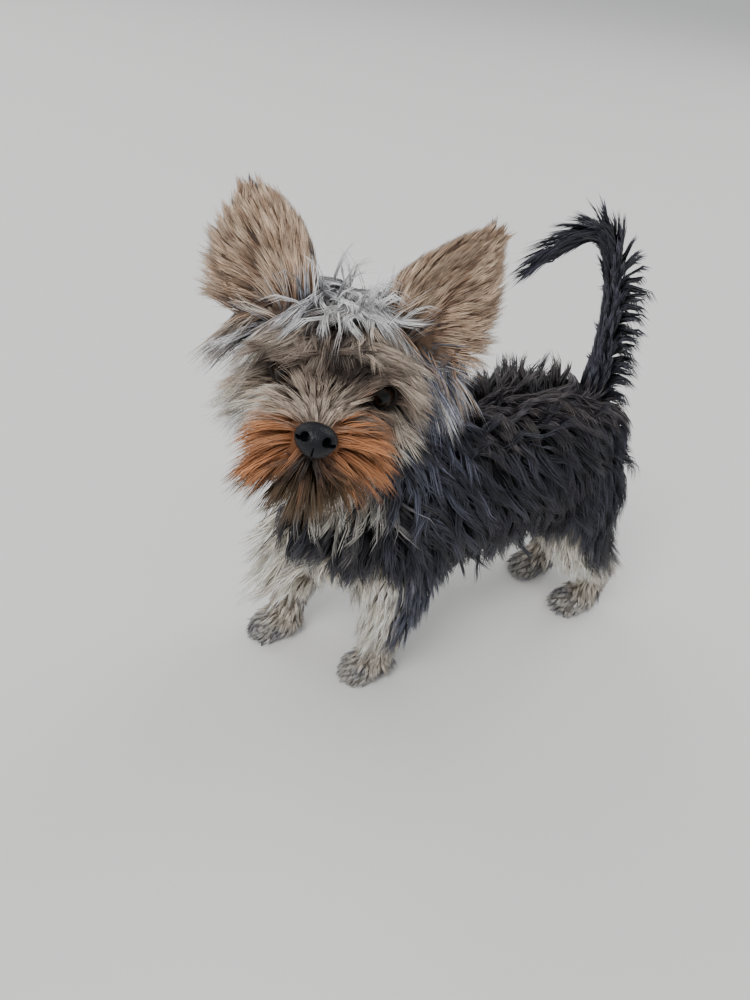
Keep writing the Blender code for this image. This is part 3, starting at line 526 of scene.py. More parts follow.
add_form("torso", Form(TORSO))
add_form("neck", Form(NECK))
add_form("head", Form(SKULL, HEAD))
add_form("head", Form(MUZZLE, HEAD))
add_form("head", Form(JAW, HEAD))
for sign in (1, -1):
    side = (math.cos(EAR_FACING), sign * math.sin(EAR_FACING), 0)
    add_form("ear", Form(EARS[sign], HEAD, side))
add_form("tail", Form(TAIL))
for name, (halves, line, stand) in LEGS.items():
    stations = [(centre, *half) for centre, half in zip(line, halves)]
    add_form(name.split("_")[0], Form(stations))
for name, (halves, line, (x, y)) in LEGS.items():
    pad = [((x, y + 0.013 - 0.0065 * i, 0.0065), w, w * 0.7)
           for i, w in enumerate((0.0055, 0.0090, 0.0098, 0.0092, 0.0058))]
    add_form("paw", Form(pad))


def build_ear(sign):
    """One ear: a tall leaf with a cup sunk in its front."""
    leaf = bmesh.new()
    form = forms[5 if sign > 0 else 6]
    form.build(leaf, 24)
    shell = new_object("ear_shell", leaf)
    forward = Vector((sign * math.sin(EAR_FACING), -math.cos(EAR_FACING), 0))
    hollow = []
    for (x, y, z), wide, deep in EARS[sign]:
        centre = Vector((x, y, z + 0.003)) + forward * (deep * 0.95)
        hollow.append((tuple(centre), max(wide - 0.0026, 0.002), max(deep * 1.02, 0.002)))
    side = (math.cos(EAR_FACING), sign * math.sin(EAR_FACING), 0)
    cup = bmesh.new()
    Form(hollow, HEAD, side).build(cup, 24)
    cutter = new_object("ear_cup", cup)
    cut = shell.modifiers.new("cup", "BOOLEAN")
    cut.operation, cut.object, cut.solver = "DIFFERENCE", cutter, "EXACT"
    finished(shell)
    bpy.data.objects.remove(cutter)
    return shell


def build_skin():
    """One skin over the whole dog, fused from its forms."""
    bm = bmesh.new()
    for kind, form in zip(kinds, forms):
        if kind != "ear":
            form.build(bm)
    for name, (halves, line, (x, y)) in LEGS.items():
        for toe in (-1.5, -0.5, 0.5, 1.5):
            spot = (x + toe * 0.0047, y - 0.0105 + 0.0016 * toe**2, 0.0044)
            place_ball(bm, spot, (0.0033, 0.0056, 0.0044))
    for end, half in ((TORSO[0][0], (0.014, 0.008, 0.018)), (TORSO[-1][0], (0.014, 0.006, 0.018)),
                      (TAIL[-1][0], (0.002, 0.004, 0.002)), (NECK[-1][0], (0.019, 0.019, 0.012))):
        place_ball(bm, end, half)
    for sign in (1, -1):
        for turn in range(18):
            around = math.radians(turn * 20)
            out = Matrix.Rotation(sign * math.radians(24), 3, "Z")
            rim = Vector((math.cos(around) * 0.0062, -0.0031, math.sin(around) * 0.0051))
            spot = EYES[sign] + out @ rim
            place_ball(bm, spot, (0.0014, 0.0016, 0.0013), HEAD, 10, 8)
        place_ball(bm, (sign * 0.017, 0.001, 0.009), (0.009, 0.005, 0.003), HEAD)
        place_ball(bm, (sign * 0.019, 0.018, -0.012), (0.010, 0.014, 0.011), HEAD)
        place_ball(bm, (sign * 0.0055, -0.0255, -0.0185), (0.0060, 0.0065, 0.0045), HEAD)
    bm.normal_update()
    skin = new_object("skin", bm)
    ears = [build_ear(1), build_ear(-1)]
    joined = bmesh.new()
    for piece in (skin, *ears):
        joined.from_mesh(piece.data)
    for piece in ears:
        bpy.data.objects.remove(piece)
    joined.to_mesh(skin.data)
    joined.free()
    fuse = skin.modifiers.new("fuse", "REMESH")
    fuse.mode, fuse.voxel_size, fuse.use_smooth_shade = "VOXEL", 0.0012, True
    soften = skin.modifiers.new("soften", "SMOOTH")
    soften.factor, soften.iterations = 0.5, 3
    finished(skin)
    lifted = bmesh.new()
    lifted.from_mesh(skin.data)
    for vert in lifted.verts:
        vert.co.z = max(vert.co.z, 0.0002)
    lifted.to_mesh(skin.data)
    lifted.free()
    return skin


def design(points):
    return points - np.array(PLACE.translation)


def region(points):
    """The form that each point of the skin belongs to, and its share and angle on it."""
    best = np.full(len(points), 1e9)
    index = np.zeros(len(points), int)
    share, angle = np.zeros(len(points)), np.zeros(len(points))
    along = np.zeros((len(points), 3))
    for i, form in enumerate(forms):
        s, a, ratio, z = form.coords(points)
        near = ratio < best
        best[near], index[near], share[near], angle[near] = ratio[near], i, s[near], a[near]
        along[near] = z[near]
    return index, share, angle, along


def groomed(points, normals, chance):
    """How the coat grows at each point: its way, length, loft, tints, width, clumping and curl."""
    index, share, angle, along = region(points)
    kind = np.array(kinds)[index]
    kind[(kind == "ear") & (share < chance.uniform(0.02, 0.17, len(share)))] = "head"
    n = len(points)
    at = design(points)
    side = np.sign(at[:, 0] + 1e-6)
    way = np.zeros((n, 3))
    length, loft = np.full(n, 0.025), np.full(n, 0.0095)
    width, clump, curl = np.full(n, 0.00085), np.full(n, 0.88), np.full(n, 0.0030)
    stray, hug, flyaway = np.full(n, 0.20), np.full(n, 0.75), np.full(n, 0.035)
    droop, pepper = np.full(n, 0.45), np.full(n, 0.34)
    root, tip = np.tile(BLACK[0], (n, 1)), np.tile(BLACK[1], (n, 1))
    outward = normals
    flow = wander(points, 0.05, 3)
    patch = wander(points, 0.022, 5)

    on = kind == "torso"
    top = 0.5 + 0.5 * np.cos(angle)
    way[on] = np.stack([
        side * (0.30 + 0.30 * top), 0.12 + 0.38 * top, -0.95 + 0.50 * top], axis=1)[on]
    ridge = on & (top > 0.86) & (wander(points, 0.011, 61) > 0.25)
    way[ridge] = np.stack([0.3 * side, 0.25 + 0 * top, 0.55 + 0 * top], axis=1)[ridge]
    hug[ridge], length[ridge] = 0.2, 0.017
    front = on & (at[:, 1] < -0.075)
    way[front] = np.stack([0.45 * at[:, 0] / 0.03, -0.30 + 0 * top, -1 + 0 * top], axis=1)[front]
    rump = on & (share > 0.72)
    way[rump] = np.stack([0.35 * side, 0.05 + 0 * top, -1 + 0.3 * top], axis=1)[rump]
    length[rump], loft[rump] = 0.018, 0.006
    under = on & (np.abs(angle) > 2.3)
    way[under] = np.stack([0.15 * side, 0.30 + 0 * top, -0.85 + 0 * top], axis=1)[under]
    length[on] *= (1 - 0.42 * smooth(at[:, 2] - 0.25 * np.maximum(at[:, 1], 0), 0.105, 0.080))[on]
    grey = smooth(patch + 0.4 * flow, 0.2, 1.2) * 0.6
    # lighter brown-grey tips along the top of the back: partly the coat's own tone, partly a painted
    # highlight where light falls on the topline
    topline_tone_and_sheen = smooth(top, 0.93, 1.0) * 0.2
    root[on] = mixed(np.array(BLACK[0]), np.array(STEEL[0]), grey * 0.4)[on]
    tip[on] = mixed(mixed(np.array(BLACK[1]), np.array(STEEL[1]), grey * 0.35),
                    np.array(TAUPE[1]), topline_tone_and_sheen)[on]
    bands = np.maximum(smooth(at[:, 2], 0.118, 0.126), smooth(at[:, 2], 0.106, 0.098))
    chest = smooth(-at[:, 1], 0.060, 0.082) * bands * smooth(at[:, 0], 0.030, 0.008)
    belly = smooth(np.abs(angle), 2.2, 2.8) * 0.5
    pale = np.maximum(belly, chest) * smooth(wander(points, 0.012, 8), -0.9, 0.1)

    on = kind == "neck"
    back = 0.5 - 0.5 * np.cos(angle)
    way[on] = np.stack([
        0.45 * np.sin(angle), -0.30 + 0.7 * back, -0.95 + 0.1 * back], axis=1)[on]
    length[on], loft[on], stray[on] = 0.027, 0.010, 0.24
    streak = np.maximum(smooth(wander(points, 0.013, 9), -0.3, 0.7), smooth(share, 0.65, 0.85))
    root[on] = mixed(np.array(BLACK[0]), np.array(STEEL[0]), streak * 0.7)[on]
    tip[on] = mixed(np.array(BLACK[1]), np.array(STEEL[1]), streak * 0.6)[on]
    bib = smooth(back, 0.42, 0.12) * smooth(wander(points, 0.010, 18), -0.8, 0.2) * smooth(
        share, 0.12, 0.36)
    length[on] = (0.027 - 0.009 * bib)[on]
    pale = np.where(on, bib, pale)
    on = np.isin(kind, ("torso", "neck"))
    root[on] = mixed(root, np.array(CREAM[0]), pale)[on]
    tip[on] = mixed(tip, np.array(CREAM[1]), pale)[on]

    on = np.isin(kind, ("front", "hind"))
    hind = kind == "hind"
    rear = 0.5 + 0.5 * np.cos(angle)
    facing = 1 - rear
    high = smooth(at[:, 2], 0.030, 0.056)
    way[on] = (along + 0.35 * outward + np.stack(
        [0.25 * side, 0.30 * rear - 0.20, 0 * rear], axis=1))[on]
    length[on] = (0.0085 + 0.0105 * high + 0.002 * rear)[on]
    loft[on] = (0.0022 + 0.0045 * high)[on]
    width[on], clump[on], curl[on], stray[on] = 0.00058, 0.80, 0.0014, 0.18
    pepper[on] = 0.24
    shade = smooth(at[:, 2] + 0.007 * patch - 0.016 * facing, 0.064, 0.080)
    shade = np.where(hind, smooth(at[:, 2] + 0.008 * patch - 0.034 * facing, 0.046, 0.066), shade)
    cool = smooth(wander(points, 0.014, 12) + 0.9 * rear - 0.6 * facing, 0.3, 1.2) * 0.7
    leg_root = mixed(mixed(np.array(CREAM[0]), np.array(TAUPE[0]), 0.5 * (1 - high)),
                     np.array(STEEL[0]), cool)
    leg_tip = mixed(mixed(np.array(CREAM[1]), np.array(TAUPE[1]), 0.45 * (1 - high)),
                    np.array(STEEL[1]), cool)
    root[on] = mixed(leg_root, np.array(BLACK[0]), shade)[on]
    tip[on] = mixed(leg_tip, mixed(np.array(BLACK[1]), np.array(STEEL[1]), 0.25 * facing), shade)[on]

    fore = (np.isin(kind, ("torso", "front")) & (at[:, 0] > 0.005) & (at[:, 1] < -0.035)
            & (at[:, 2] < 0.110) & (at[:, 2] > 0.040))
    bright = smooth(-outward[:, 1] - 0.5 * outward[:, 0] + 0.15 * flow, -0.5, 0.05) * smooth(
        at[:, 2] + 0.004 * patch, 0.101, 0.090)
    blue = (0.25 + 0.6 * smooth(wander(points, 0.009, 71), -0.6, 0.9)) * smooth(
        at[:, 2], 0.110, 0.085)
    for colours, end in ((root, 0), (tip, 1)):
        coat = mixed(mixed(np.array(BLACK[end]), np.array(STEEL[end]), blue), np.array(CREAM[end]), bright)
        colours[fore] = coat[fore]
    way[fore] = (way + np.array([0.05, -0.35, -0.2]))[fore]
    length[fore] = (0.016 + 0.006 * bright)[fore]

    shoulder = (np.isin(kind, ("torso", "front")) & (at[:, 0] < -0.010) & (at[:, 1] < -0.070)
                & (at[:, 2] < 0.098) & (at[:, 2] > 0.050) & (outward[:, 1] < 0.3))
    way[shoulder] = (0.06, -0.86, -0.52)
    length[shoulder], loft[shoulder], hug[shoulder] = 0.034, 0.011, 0.15
    clump[shoulder], curl[shoulder], droop[shoulder] = 0.84, 0.002, 0.35
    width[shoulder], pepper[shoulder] = 0.0012, 0.22
    tuft = smooth(wander(points, 0.012, 14), -1.0, -0.3) * smooth(at[:, 0], -0.008, -0.018)
    root[shoulder] = mixed(root, np.array(CREAM[0]), tuft)[shoulder]
    tip[shoulder] = mixed(tip, np.array(CREAM[1]), tuft)[shoulder]

    on = kind == "paw"
    way[on] = (0.5 * outward + np.array([0, -0.75, -0.5]))[on]
    length[on], loft[on], width[on], clump[on], curl[on] = 0.0052, 0.0009, 0.0005, 0.5, 0.0003
    stray[on], pepper[on] = 0.12, 0.22
    ashen = 0.35 + 0.35 * smooth(wander(points, 0.009, 33), -0.5, 0.8)
    root[on] = mixed(np.array(CREAM[0]) * 0.6, np.array(STEEL[0]), ashen)[on]
    tip[on] = mixed(np.array(CREAM[1]) * 0.72, np.array(STEEL[1]), ashen)[on]

    on = kind == "tail"
    behind = 0.5 - 0.5 * np.cos(angle)
    hang = behind ** 2 * smooth(share, 0.62, 0.45)
    fan = behind ** 2 * smooth(share, 0.45, 0.62)
    way[on] = (along * (1 - 0.75 * hang)[:, None] + outward * (0.04 + 0.9 * hang + 0.22 * fan)[:, None]
               - np.array([0, 0, 0.15]) * hang[:, None])[on]
    length[on] = (0.012 + 0.005 * hang + 0.009 * smooth(share, 0.45, 0.7))[on]
    droop[on] = (0.25 + 1.5 * hang)[on]
    loft[on], curl[on] = (0.0010 + 0.003 * hang + 0.003 * fan)[on], (0.0006 + 0.002 * hang)[on]
    clump[on] = (0.86 + 0.08 * hang)[on]
    stray[on], hug[on] = (0.07 + 0.14 * hang)[on], (0.8 - 0.7 * behind ** 2)[on]
    root[on], tip[on] = BLACK[0], mixed(np.array(BLACK[1]), np.array(STEEL[1]), 0.12)

    on = kind == "ear"
    local = (points - np.array(HEAD.translation)) @ HEAD_AXES
    sign = np.sign(local[:, 0])
    face = np.stack([sign * math.sin(EAR_FACING), -math.cos(EAR_FACING) + 0 * sign,
                     0 * sign], axis=1) @ HEAD_AXES.T
    inner = np.sum(normals * face, axis=1) > 0.1
    across = np.stack([math.cos(EAR_FACING) + 0 * sign, sign * math.sin(EAR_FACING),
                       0 * sign], axis=1) @ HEAD_AXES.T
    edge = np.sin(angle)
    up = smooth(share, 0.0, 0.9)
    fan = local - np.stack([sign * 0.014, 0.020 + 0 * sign, 0.004 + 0 * sign], axis=1)
    fan = unit(fan) @ HEAD_AXES.T
    outer_edge = np.clip(edge * sign, 0, 1)
    way[on] = (fan + along * 0.15 + outward * 0.10
               - np.outer(0.55 * outer_edge * (1 - up), HEAD_AXES[:, 2]))[on]
    low = smooth(share, 0.34, 0.06)
    length[on] = (0.0112 + 0.003 * outer_edge * (1 - up) + 0.007 * low - 0.003 * up)[on]
    droop[on] = (0.1 + 0.5 * low * outer_edge)[on]
    loft[on] = np.where(inner, 0.0012, 0.0020)[on]
    width[on], clump[on], curl[on] = 0.00042, 0.34, 0.0004
    stray[on], hug[on], pepper[on] = 0.08, np.where(inner, 0.6, 0.8)[on], 0.24
    streak = smooth(wander(points, 0.007, 21), -0.4, 0.7)
    rim = np.maximum(np.abs(edge) ** 2, smooth(share, 0.55, 0.95))[:, None]
    inner_root = mixed(np.array(TAN[0]), np.array(DARK[1]), streak) * (0.7 + 0.5 * rim)
    inner_tip = (mixed(np.array(BLOND[1]) * 1.05, np.array(TAN[1]), streak * 0.8) * rim
                 + mixed(np.array(TAN[1]) * 1.05, np.array(TAUPE[0]) * 1.2, streak) * (1 - rim))
    outer_root = mixed(np.array(DARK[0]), np.array(STEEL[0]), streak)
    outer_tip = mixed(mixed(np.array(DARK[1]), np.array(STEEL[1]), streak * 0.5),
                      np.array(BLOND[1]), np.abs(edge) ** 3 * 0.5)
    deep = (np.exp(-((share - 0.32) / 0.20) ** 2) * np.clip(1 - edge ** 2, 0, 1))[:, None]
    inner_root = inner_root * (1 - 0.45 * deep)
    inner_tip = inner_tip * (1 - deep * np.array([0.24, 0.36, 0.38]))
    root[on] = np.where(inner[:, None], inner_root, outer_root)[on]
    tip[on] = np.where(inner[:, None], inner_tip, outer_tip)[on]

    on = kind == "head"
    away = np.linalg.norm(local[on][:, None] - combing[None, :, :3], axis=2)
    weight = 1 / (away + 0.0015) ** 3.5
    weight /= weight.sum(axis=1, keepdims=True)
    blend = weight @ combing[:, 3:]
    way[on] = unit(blend[:, :3]) @ HEAD_AXES.T
    length[on], loft[on], hug[on] = blend[:, 3] * 1.08, blend[:, 4], blend[:, 5]
    sharp = weight ** 2
    sharp /= sharp.sum(axis=1, keepdims=True)
    root[on], tip[on] = sharp @ combing[:, 9:12], sharp @ combing[:, 12:15]
    width[on] = 0.00036 + 0.00016 * smooth(length[on], 0.008, 0.025)
    beyond = smooth(local[:, 1], -0.004, 0.012)
    clump[on], curl[on] = (0.38 + 0.22 * beyond)[on], (0.0003 + 0.0007 * beyond)[on]
    stray[on], flyaway[on] = (0.08 + 0.06 * beyond)[on], 0.04
    crown = smooth(local[:, 2], 0.019, 0.024) * smooth(local[:, 1], 0.040, 0.026) * on
    curl += 0.0014 * crown
    stray += 0.25 * crown
    mask = smooth(local[:, 1], 0.010, -0.006) * smooth(local[:, 2], -0.001, -0.006) * on
    droop[on] = (0.22 + 0.50 * mask)[on]
    pepper[on] = (0.20 + 0.30 * beyond * (1 - mask))[on]
    fine = np.exp(0.38 * wander(local, 0.0065, 41) * (1 - mask))[:, None]
    root[on], tip[on] = (root * fine)[on], (tip * fine)[on]
    return {"index": index, "share": share, "angle": angle, "way": unit(way), "length": length,
            "loft": loft, "width": width, "clump": clump, "curl": curl, "stray": stray,
            "hug": hug, "flyaway": flyaway, "crown": crown, "droop": droop, "pepper": pepper,
            "root": root, "tip": tip, "kind": kind, "local": local}


def scatter(mesh, count, chance):
    """Points spread over the skin, thicker where its hair is short and fine."""
    mesh.calc_loop_triangles()
    corners = np.zeros(len(mesh.loop_triangles) * 3, np.int32)
    mesh.loop_triangles.foreach_get("vertices", corners)
    corners = corners.reshape(-1, 3)
    co = np.zeros(len(mesh.vertices) * 3)
    mesh.vertices.foreach_get("co", co)
    co = co.reshape(-1, 3)
    a, b, c = (co[corners[:, i]] for i in range(3))
    cross = np.cross(b - a, c - a)
    area = np.linalg.norm(cross, axis=1) / 2
    middle = (a + b + c) / 3
    plan = groomed(middle, unit(cross), chance)
    dense = np.array([THICK[kind] for kind in kinds])[plan["index"]]
    dense = dense * np.minimum(0.020 / plan["length"], 3) * (middle[:, 2] > 0.0015)
    local = plan["local"]
    for sign in (1, -1):
        ahead = np.array((sign * math.sin(math.radians(24)), -math.cos(math.radians(24)), 0))
        off = local - np.array(EYES[sign])
        beside = np.linalg.norm(off - (off @ ahead)[:, None] * ahead, axis=1)
        dense = dense * np.where((beside < 0.0066) & (off @ ahead > -0.002), 0, 1)
    nose = np.linalg.norm((local - np.array((0, -0.0365, -0.0092))) / (8.2, 7.5, 6.4), axis=1)
    dense = dense * (nose * 1000 > 1)
    chances = np.cumsum(area * dense)
    pick = np.searchsorted(chances, chance.uniform(0, chances[-1], count))
    u, v = chance.uniform(size=(2, count))
    flip = u + v > 1
    u[flip], v[flip] = 1 - u[flip], 1 - v[flip]
    spots = a[pick] + (b - a)[pick] * u[:, None] + (c - a)[pick] * v[:, None]
    return spots, unit(cross[pick])


THICK = {"torso": 0.9, "neck": 0.85, "head": 2.5, "ear": 1.3, "tail": 1.8, "front": 1.0,
         "hind": 0.9, "paw": 0.7}
STEPS = 8


def march(tree, spots, normals, plan, chance):
    """Guide hairs: each leaves the skin, lies over along the coat's way, and droops at its tip."""
    count = len(spots)
    paths = np.zeros((count, STEPS + 1, 3))
    paths[:, 0] = spots - normals * 0.0008
    phase = (wander(spots, 0.030, 51) * 3.5 + chance.normal(0, 0.5, size=count))
    turns = plan["length"] / 0.034 * chance.uniform(0.8, 1.25, size=count)
    lift = plan["loft"] * chance.uniform(0.65, 1.3, size=count)
    length = plan["length"] * chance.uniform(0.85, 1.1, size=count)
    swirl = np.cross(normals, plan["way"]) * wander(spots, 0.028, 31)[:, None]
    spread = unit(plan["way"] + swirl * plan["stray"][:, None] * 1.6
                  + plan["stray"][:, None] * chance.normal(size=(count, 3)))
    hug = plan["hug"].copy()
    wisp = (plan["crown"] > 0.3) & (chance.uniform(size=count) < 0.26)
    spread[wisp] = unit(normals[wisp] + 0.5 * chance.normal(size=(wisp.sum(), 3)))
    hug[wisp], lift[wisp], length[wisp] = 0.0, 0.002, 0.025
    droop = np.where(wisp, 1.1, plan["droop"])
    step = length / STEPS
    for i in range(count):
        place = Vector(spots[i])
        normal = Vector(normals[i])
        way = Vector(spread[i])
        across = way.cross(normal).normalized()
        for k in range(1, STEPS + 1):
            t = k / STEPS
            flat = (way - normal * way.dot(normal) * float(hug[i])).normalized()
            drop = Vector((0, 0, -float(droop[i]) * t ** 1.5))
            swing = 2 * math.pi * turns[i]
            wave = plan["curl"][i] * swing / STEPS * math.cos(phase[i] + swing * t) * t ** 0.5
            place = place + (flat + drop).normalized() * step[i] + across * wave
            found, facing, _, _ = tree.find_nearest(place)
            height = (place - found).dot(facing)
            wanted = lift[i] * (0.25 + 0.75 * t ** 0.8)
            if height < wanted:
                place = place + facing * min((wanted - height) * 0.7, step[i] * 0.9)
            normal = facing
            paths[i, k] = place
            paths[i, k, 2] = max(place.z, 0.0006)
    return paths, wisp


def grow(skin, count, per_guide, chance):
    """The coat: strands that clump together round guide hairs."""
    tree = BVHTree.FromPolygons([v.co.copy() for v in skin.data.vertices],
                                [p.vertices[:] for p in skin.data.polygons])
    spots, normals = scatter(skin.data, count, chance)
    plan = groomed(spots, normals, chance)
    guides = chance.choice(count, count // per_guide, replace=False)
    only = {key: value[guides] for key, value in plan.items()}
    paths, wisp = march(tree, spots[guides], normals[guides], only, chance)
    finder = KDTree(len(guides))
    for i, spot in enumerate(spots[guides]):
        finder.insert(spot, i)
    finder.balance()
    nearest = np.zeros(count, int)
    for i in range(count):
        found = finder.find_n(spots[i], 4)
        same = [j for _, j, off in found
                if normals[i] @ normals[guides[j]] > 0.2 and (off < 0.0011 or not wisp[j])]
        nearest[i] = same[0] if same else found[0][1]
    fine = wisp[nearest]
    plan["root"][fine], plan["tip"][fine], plan["width"][fine] = WHITE[0], WHITE[1], 0.0004
    return spots, normals, plan, paths, nearest


def strands(spots, normals, plan, paths, nearest, chance, rings):
    """Points along each strand, its tangents, and its broad and thin ways."""
    count = len(spots)
    t = np.linspace(0, 1, rings + 1)
    along = t * STEPS
    before = np.minimum(along.astype(int), STEPS - 1)
    part = (along - before)[None, :, None]
    guide = paths[nearest]
    line = guide[:, before] * (1 - part) + guide[:, before + 1] * part
    start = guide[:, :1]
    size = chance.uniform(0.78, 1.12, size=count)[:, None, None]
    away = (spots - normals * 0.0008)[:, None] - start
    hold = plan["clump"][:, None, None] * (t[None, :, None] ** 0.75)
    points = start + away * (1 - hold) + (line - start) * size
    fray = chance.normal(size=(count, 1, 3)) * (plan["length"] * plan["flyaway"])[:, None, None]
    points = points + fray * t[None, :, None] ** 1.5
    tangent = unit(np.gradient(points, axis=1))
    broad = unit(np.cross(tangent, normals[:, None]))
    thin = np.cross(broad, tangent)
    points[:, 1:, 2] = np.maximum(points[:, 1:, 2], 0.0008)
    points[..., :2] = np.clip(points[..., :2], (-0.0553, -0.1285), (0.0553, 0.1285))
    return points, broad, thin, t


def off_the_eyes(points, chance):
    """False for the strands that would hang over an eye: most on the left, and fewer on the right."""
    keep = np.ones(len(points), bool)
    for sign, share, reach in ((1, 1.0, 0.0058), (-1, 0.85, 0.0050)):
        local = (points - np.array(HEAD.translation)) @ HEAD_AXES
        off = local - np.array(EYES[sign])
        ahead = np.array((sign * math.sin(math.radians(15)), -math.cos(math.radians(15)), 0.1))
        front = off @ ahead
        beside = np.linalg.norm(off - front[..., None] * ahead, axis=-1)
        over = ((beside < reach) & (front > 0.0)).any(axis=1)
        keep &= ~(over & (chance.uniform(size=len(points)) < share))
    return keep


def tinted(plan, t, nearest, chance):
    """Each strand's tint from root to tip, its darker root partly painted shade deep in the coat, in tufts
    a little lighter or darker.
    """
    count = len(plan["length"])
    share = smooth(t, 0.0, 0.85)[None, :, None]
    tint = plan["root"][:, None] * (1 - share) + plan["tip"][:, None] * share
    tufts = np.random.default_rng(SEED).normal(size=nearest.max() + 1)[nearest]
    light = np.exp(plan["pepper"] * (0.8 * tufts + 0.7 * chance.normal(size=count)))
    return tint * light[:, None, None]


def atlas(plan):
    """Where each root lies on the unwrap of the skin: one cell a form, by share and angle."""
    column, row = plan["index"] % 4, plan["index"] // 4
    u = (column + 0.04 + 0.92 * plan["share"]) / 4
    v = (row + 0.04 + 0.92 * (plan["angle"] / (2 * math.pi) + 0.5)) / 4
    return np.stack([u, v], axis=1)


PATCH = 0.003


def coat_piece(name, points, broad, thin, t, tint, width, roots, finish):
    """A piece of the coat: each strand a closed, tapering, three-sided lock."""
    count, rings = points.shape[0], points.shape[1] - 1
    taper = np.clip(1.12 - t[:rings] ** 1.6, 0.16, 1) * np.where(t[:rings] == 0, 0.7, 1)
    wide = (width[:, None] / 2 * taper)[:, :, None]
    high = wide * 0.42
    body, lead = points[:, :rings], points[:, rings:]
    left = body - broad[:, :rings] * wide - thin[:, :rings] * high * 0.5
    right = body + broad[:, :rings] * wide - thin[:, :rings] * high * 0.5
    ridge = body + thin[:, :rings] * high
    ringed = np.stack([left, right, ridge], axis=2).reshape(count, rings * 3, 3)
    verts = np.concatenate([ringed, lead], axis=1)
    each = rings * 3 + 1
    faces = [(0, 1, 2)]
    for k in range(rings - 1):
        for a in range(3):
            b = (a + 1) % 3
            p, q, r, s = 3 * k + a, 3 * k + b, 3 * k + 3 + b, 3 * k + 3 + a
            faces += [(p, r, q), (p, s, r)]
    top = 3 * (rings - 1)
    for a in range(3):
        faces.append((top + a, each - 1, top + (a + 1) % 3))
    faces = np.array(faces)
    all_faces = (faces[None] + (np.arange(count) * each)[:, None, None]).reshape(-1, 3)
    mesh = bpy.data.meshes.new(name)
    mesh.vertices.add(count * each)
    mesh.vertices.foreach_set("co", verts.reshape(-1).astype(np.float32))
    mesh.loops.add(all_faces.size)
    mesh.loops.foreach_set("vertex_index", all_faces.reshape(-1).astype(np.int32))
    mesh.polygons.add(len(all_faces))
    mesh.polygons.foreach_set("loop_start", np.arange(0, all_faces.size, 3, dtype=np.int32))
    mesh.update(calc_edges=True)
    shade = np.concatenate([np.repeat(tint[:, :rings], 3, axis=1), tint[:, rings:]], axis=1)
    colour = mesh.color_attributes.new("tint", "FLOAT_COLOR", "POINT")
    four = np.concatenate([np.clip(shade, 0, 1), np.ones((count, each, 1))], axis=2)
    colour.data.foreach_set("color", four.reshape(-1).astype(np.float32))
    across = np.concatenate([np.tile((0.0, 1.0, 0.5), rings), (0.5,)]) - 0.5
    down = np.concatenate([np.repeat(t[:rings], 3), (1.0,)]) - 0.5
    flat = roots[:, None] + PATCH * np.stack([across, down], axis=1)[None]
    layer = mesh.uv_layers.new(name="OFBake")
    layer.uv.foreach_set("vector", flat.reshape(-1, 2)[all_faces.reshape(-1)]
                         .reshape(-1).astype(np.float32))
    mesh.polygons.foreach_set("use_smooth", np.ones(len(all_faces), bool))
    mesh.materials.append(finish)
    return new_object(name, mesh=mesh)


# Skin

chance = np.random.default_rng(SEED)
skin = build_skin()
skin_points = np.array([v.co for v in skin.data.vertices])
skin_normals = np.array([v.normal for v in skin.data.vertices])
markings = groomed(skin_points, skin_normals, chance)
tint = markings["root"] * 0.45 + markings["tip"] * 0.08
local = markings["local"]
on_head = markings["kind"] == "head"
for sign in (1, -1):
    near = np.linalg.norm(local - np.array(EYES[sign] + Vector((0, -0.004, 0))), axis=1)
    dark = smooth(near, 0.0100, 0.0078) * on_head
    tint = mixed(tint, np.array((0.016, 0.011, 0.010)), dark)
lips = on_head * smooth(np.abs(local[:, 2] + 0.0215), 0.004, 0.001) * smooth(-local[:, 1], -0.01, 0)
tint = mixed(tint, np.array((0.014, 0.010, 0.010)), lips)
colour = skin.data.color_attributes.new("tint", "FLOAT_COLOR", "POINT")
colour.data.foreach_set("color", np.concatenate(
    [np.clip(tint, 0, 1), np.ones((len(tint), 1))], axis=1).reshape(-1).astype(np.float32))
skin.data.materials.append(skin_material())
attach(skin, "root")
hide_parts("head", "neck", "torso", "ear_left", "ear_right", "tail_base", "tail_middle",
            "tail_tip", "front_left_leg", "front_right_leg", "hind_left_leg", "hind_left_foot",
            "hind_right_leg", "hind_right_foot")

# Eyes, nose and claws

for name, sign in (("eye_left", 1), ("eye_right", -1)):
    bm = bmesh.new()
    centre = EYES[sign]
    place_ball(bm, centre, (EYE_RADIUS,) * 3, HEAD, 48, 32)
    eye = new_object(name, bm)
    eye.data.shade_smooth()
    made, tree, shader = material(name, (0.012, 0.007, 0.005), 0.05, Specular_IOR_Level=0.22)
    gaze = Matrix.Rotation(sign * math.radians(20), 3, "Z") @ Vector((0, -EYE_RADIUS, 0))
    pupil = HEAD @ (centre + gaze)
    place = node(tree, "ShaderNodeTexCoord", out=3)
    off = node(tree, "ShaderNodeVectorMath", {"operation": "DISTANCE"},
               {0: place, 1: tuple(pupil)}, out=1) * 100
    iris = node(tree, "ShaderNodeValToRGB", {"stops": [
        (0.0, (0.001, 0.001, 0.001, 1)), (0.24, (0.001, 0.001, 0.001, 1)),
        (0.29, (0.020, 0.009, 0.004, 1)), (0.42, (0.013, 0.006, 0.003, 1)),
        (0.48, (0.002, 0.0015, 0.0015, 1)), (0.62, (0.018, 0.012, 0.010, 1)),
    ]}, {"Fac": off})
    tree.links.new(iris.socket, shader.inputs["Base Color"])
    eye.data.materials.append(made)
    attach(eye, "root")
    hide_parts(name)

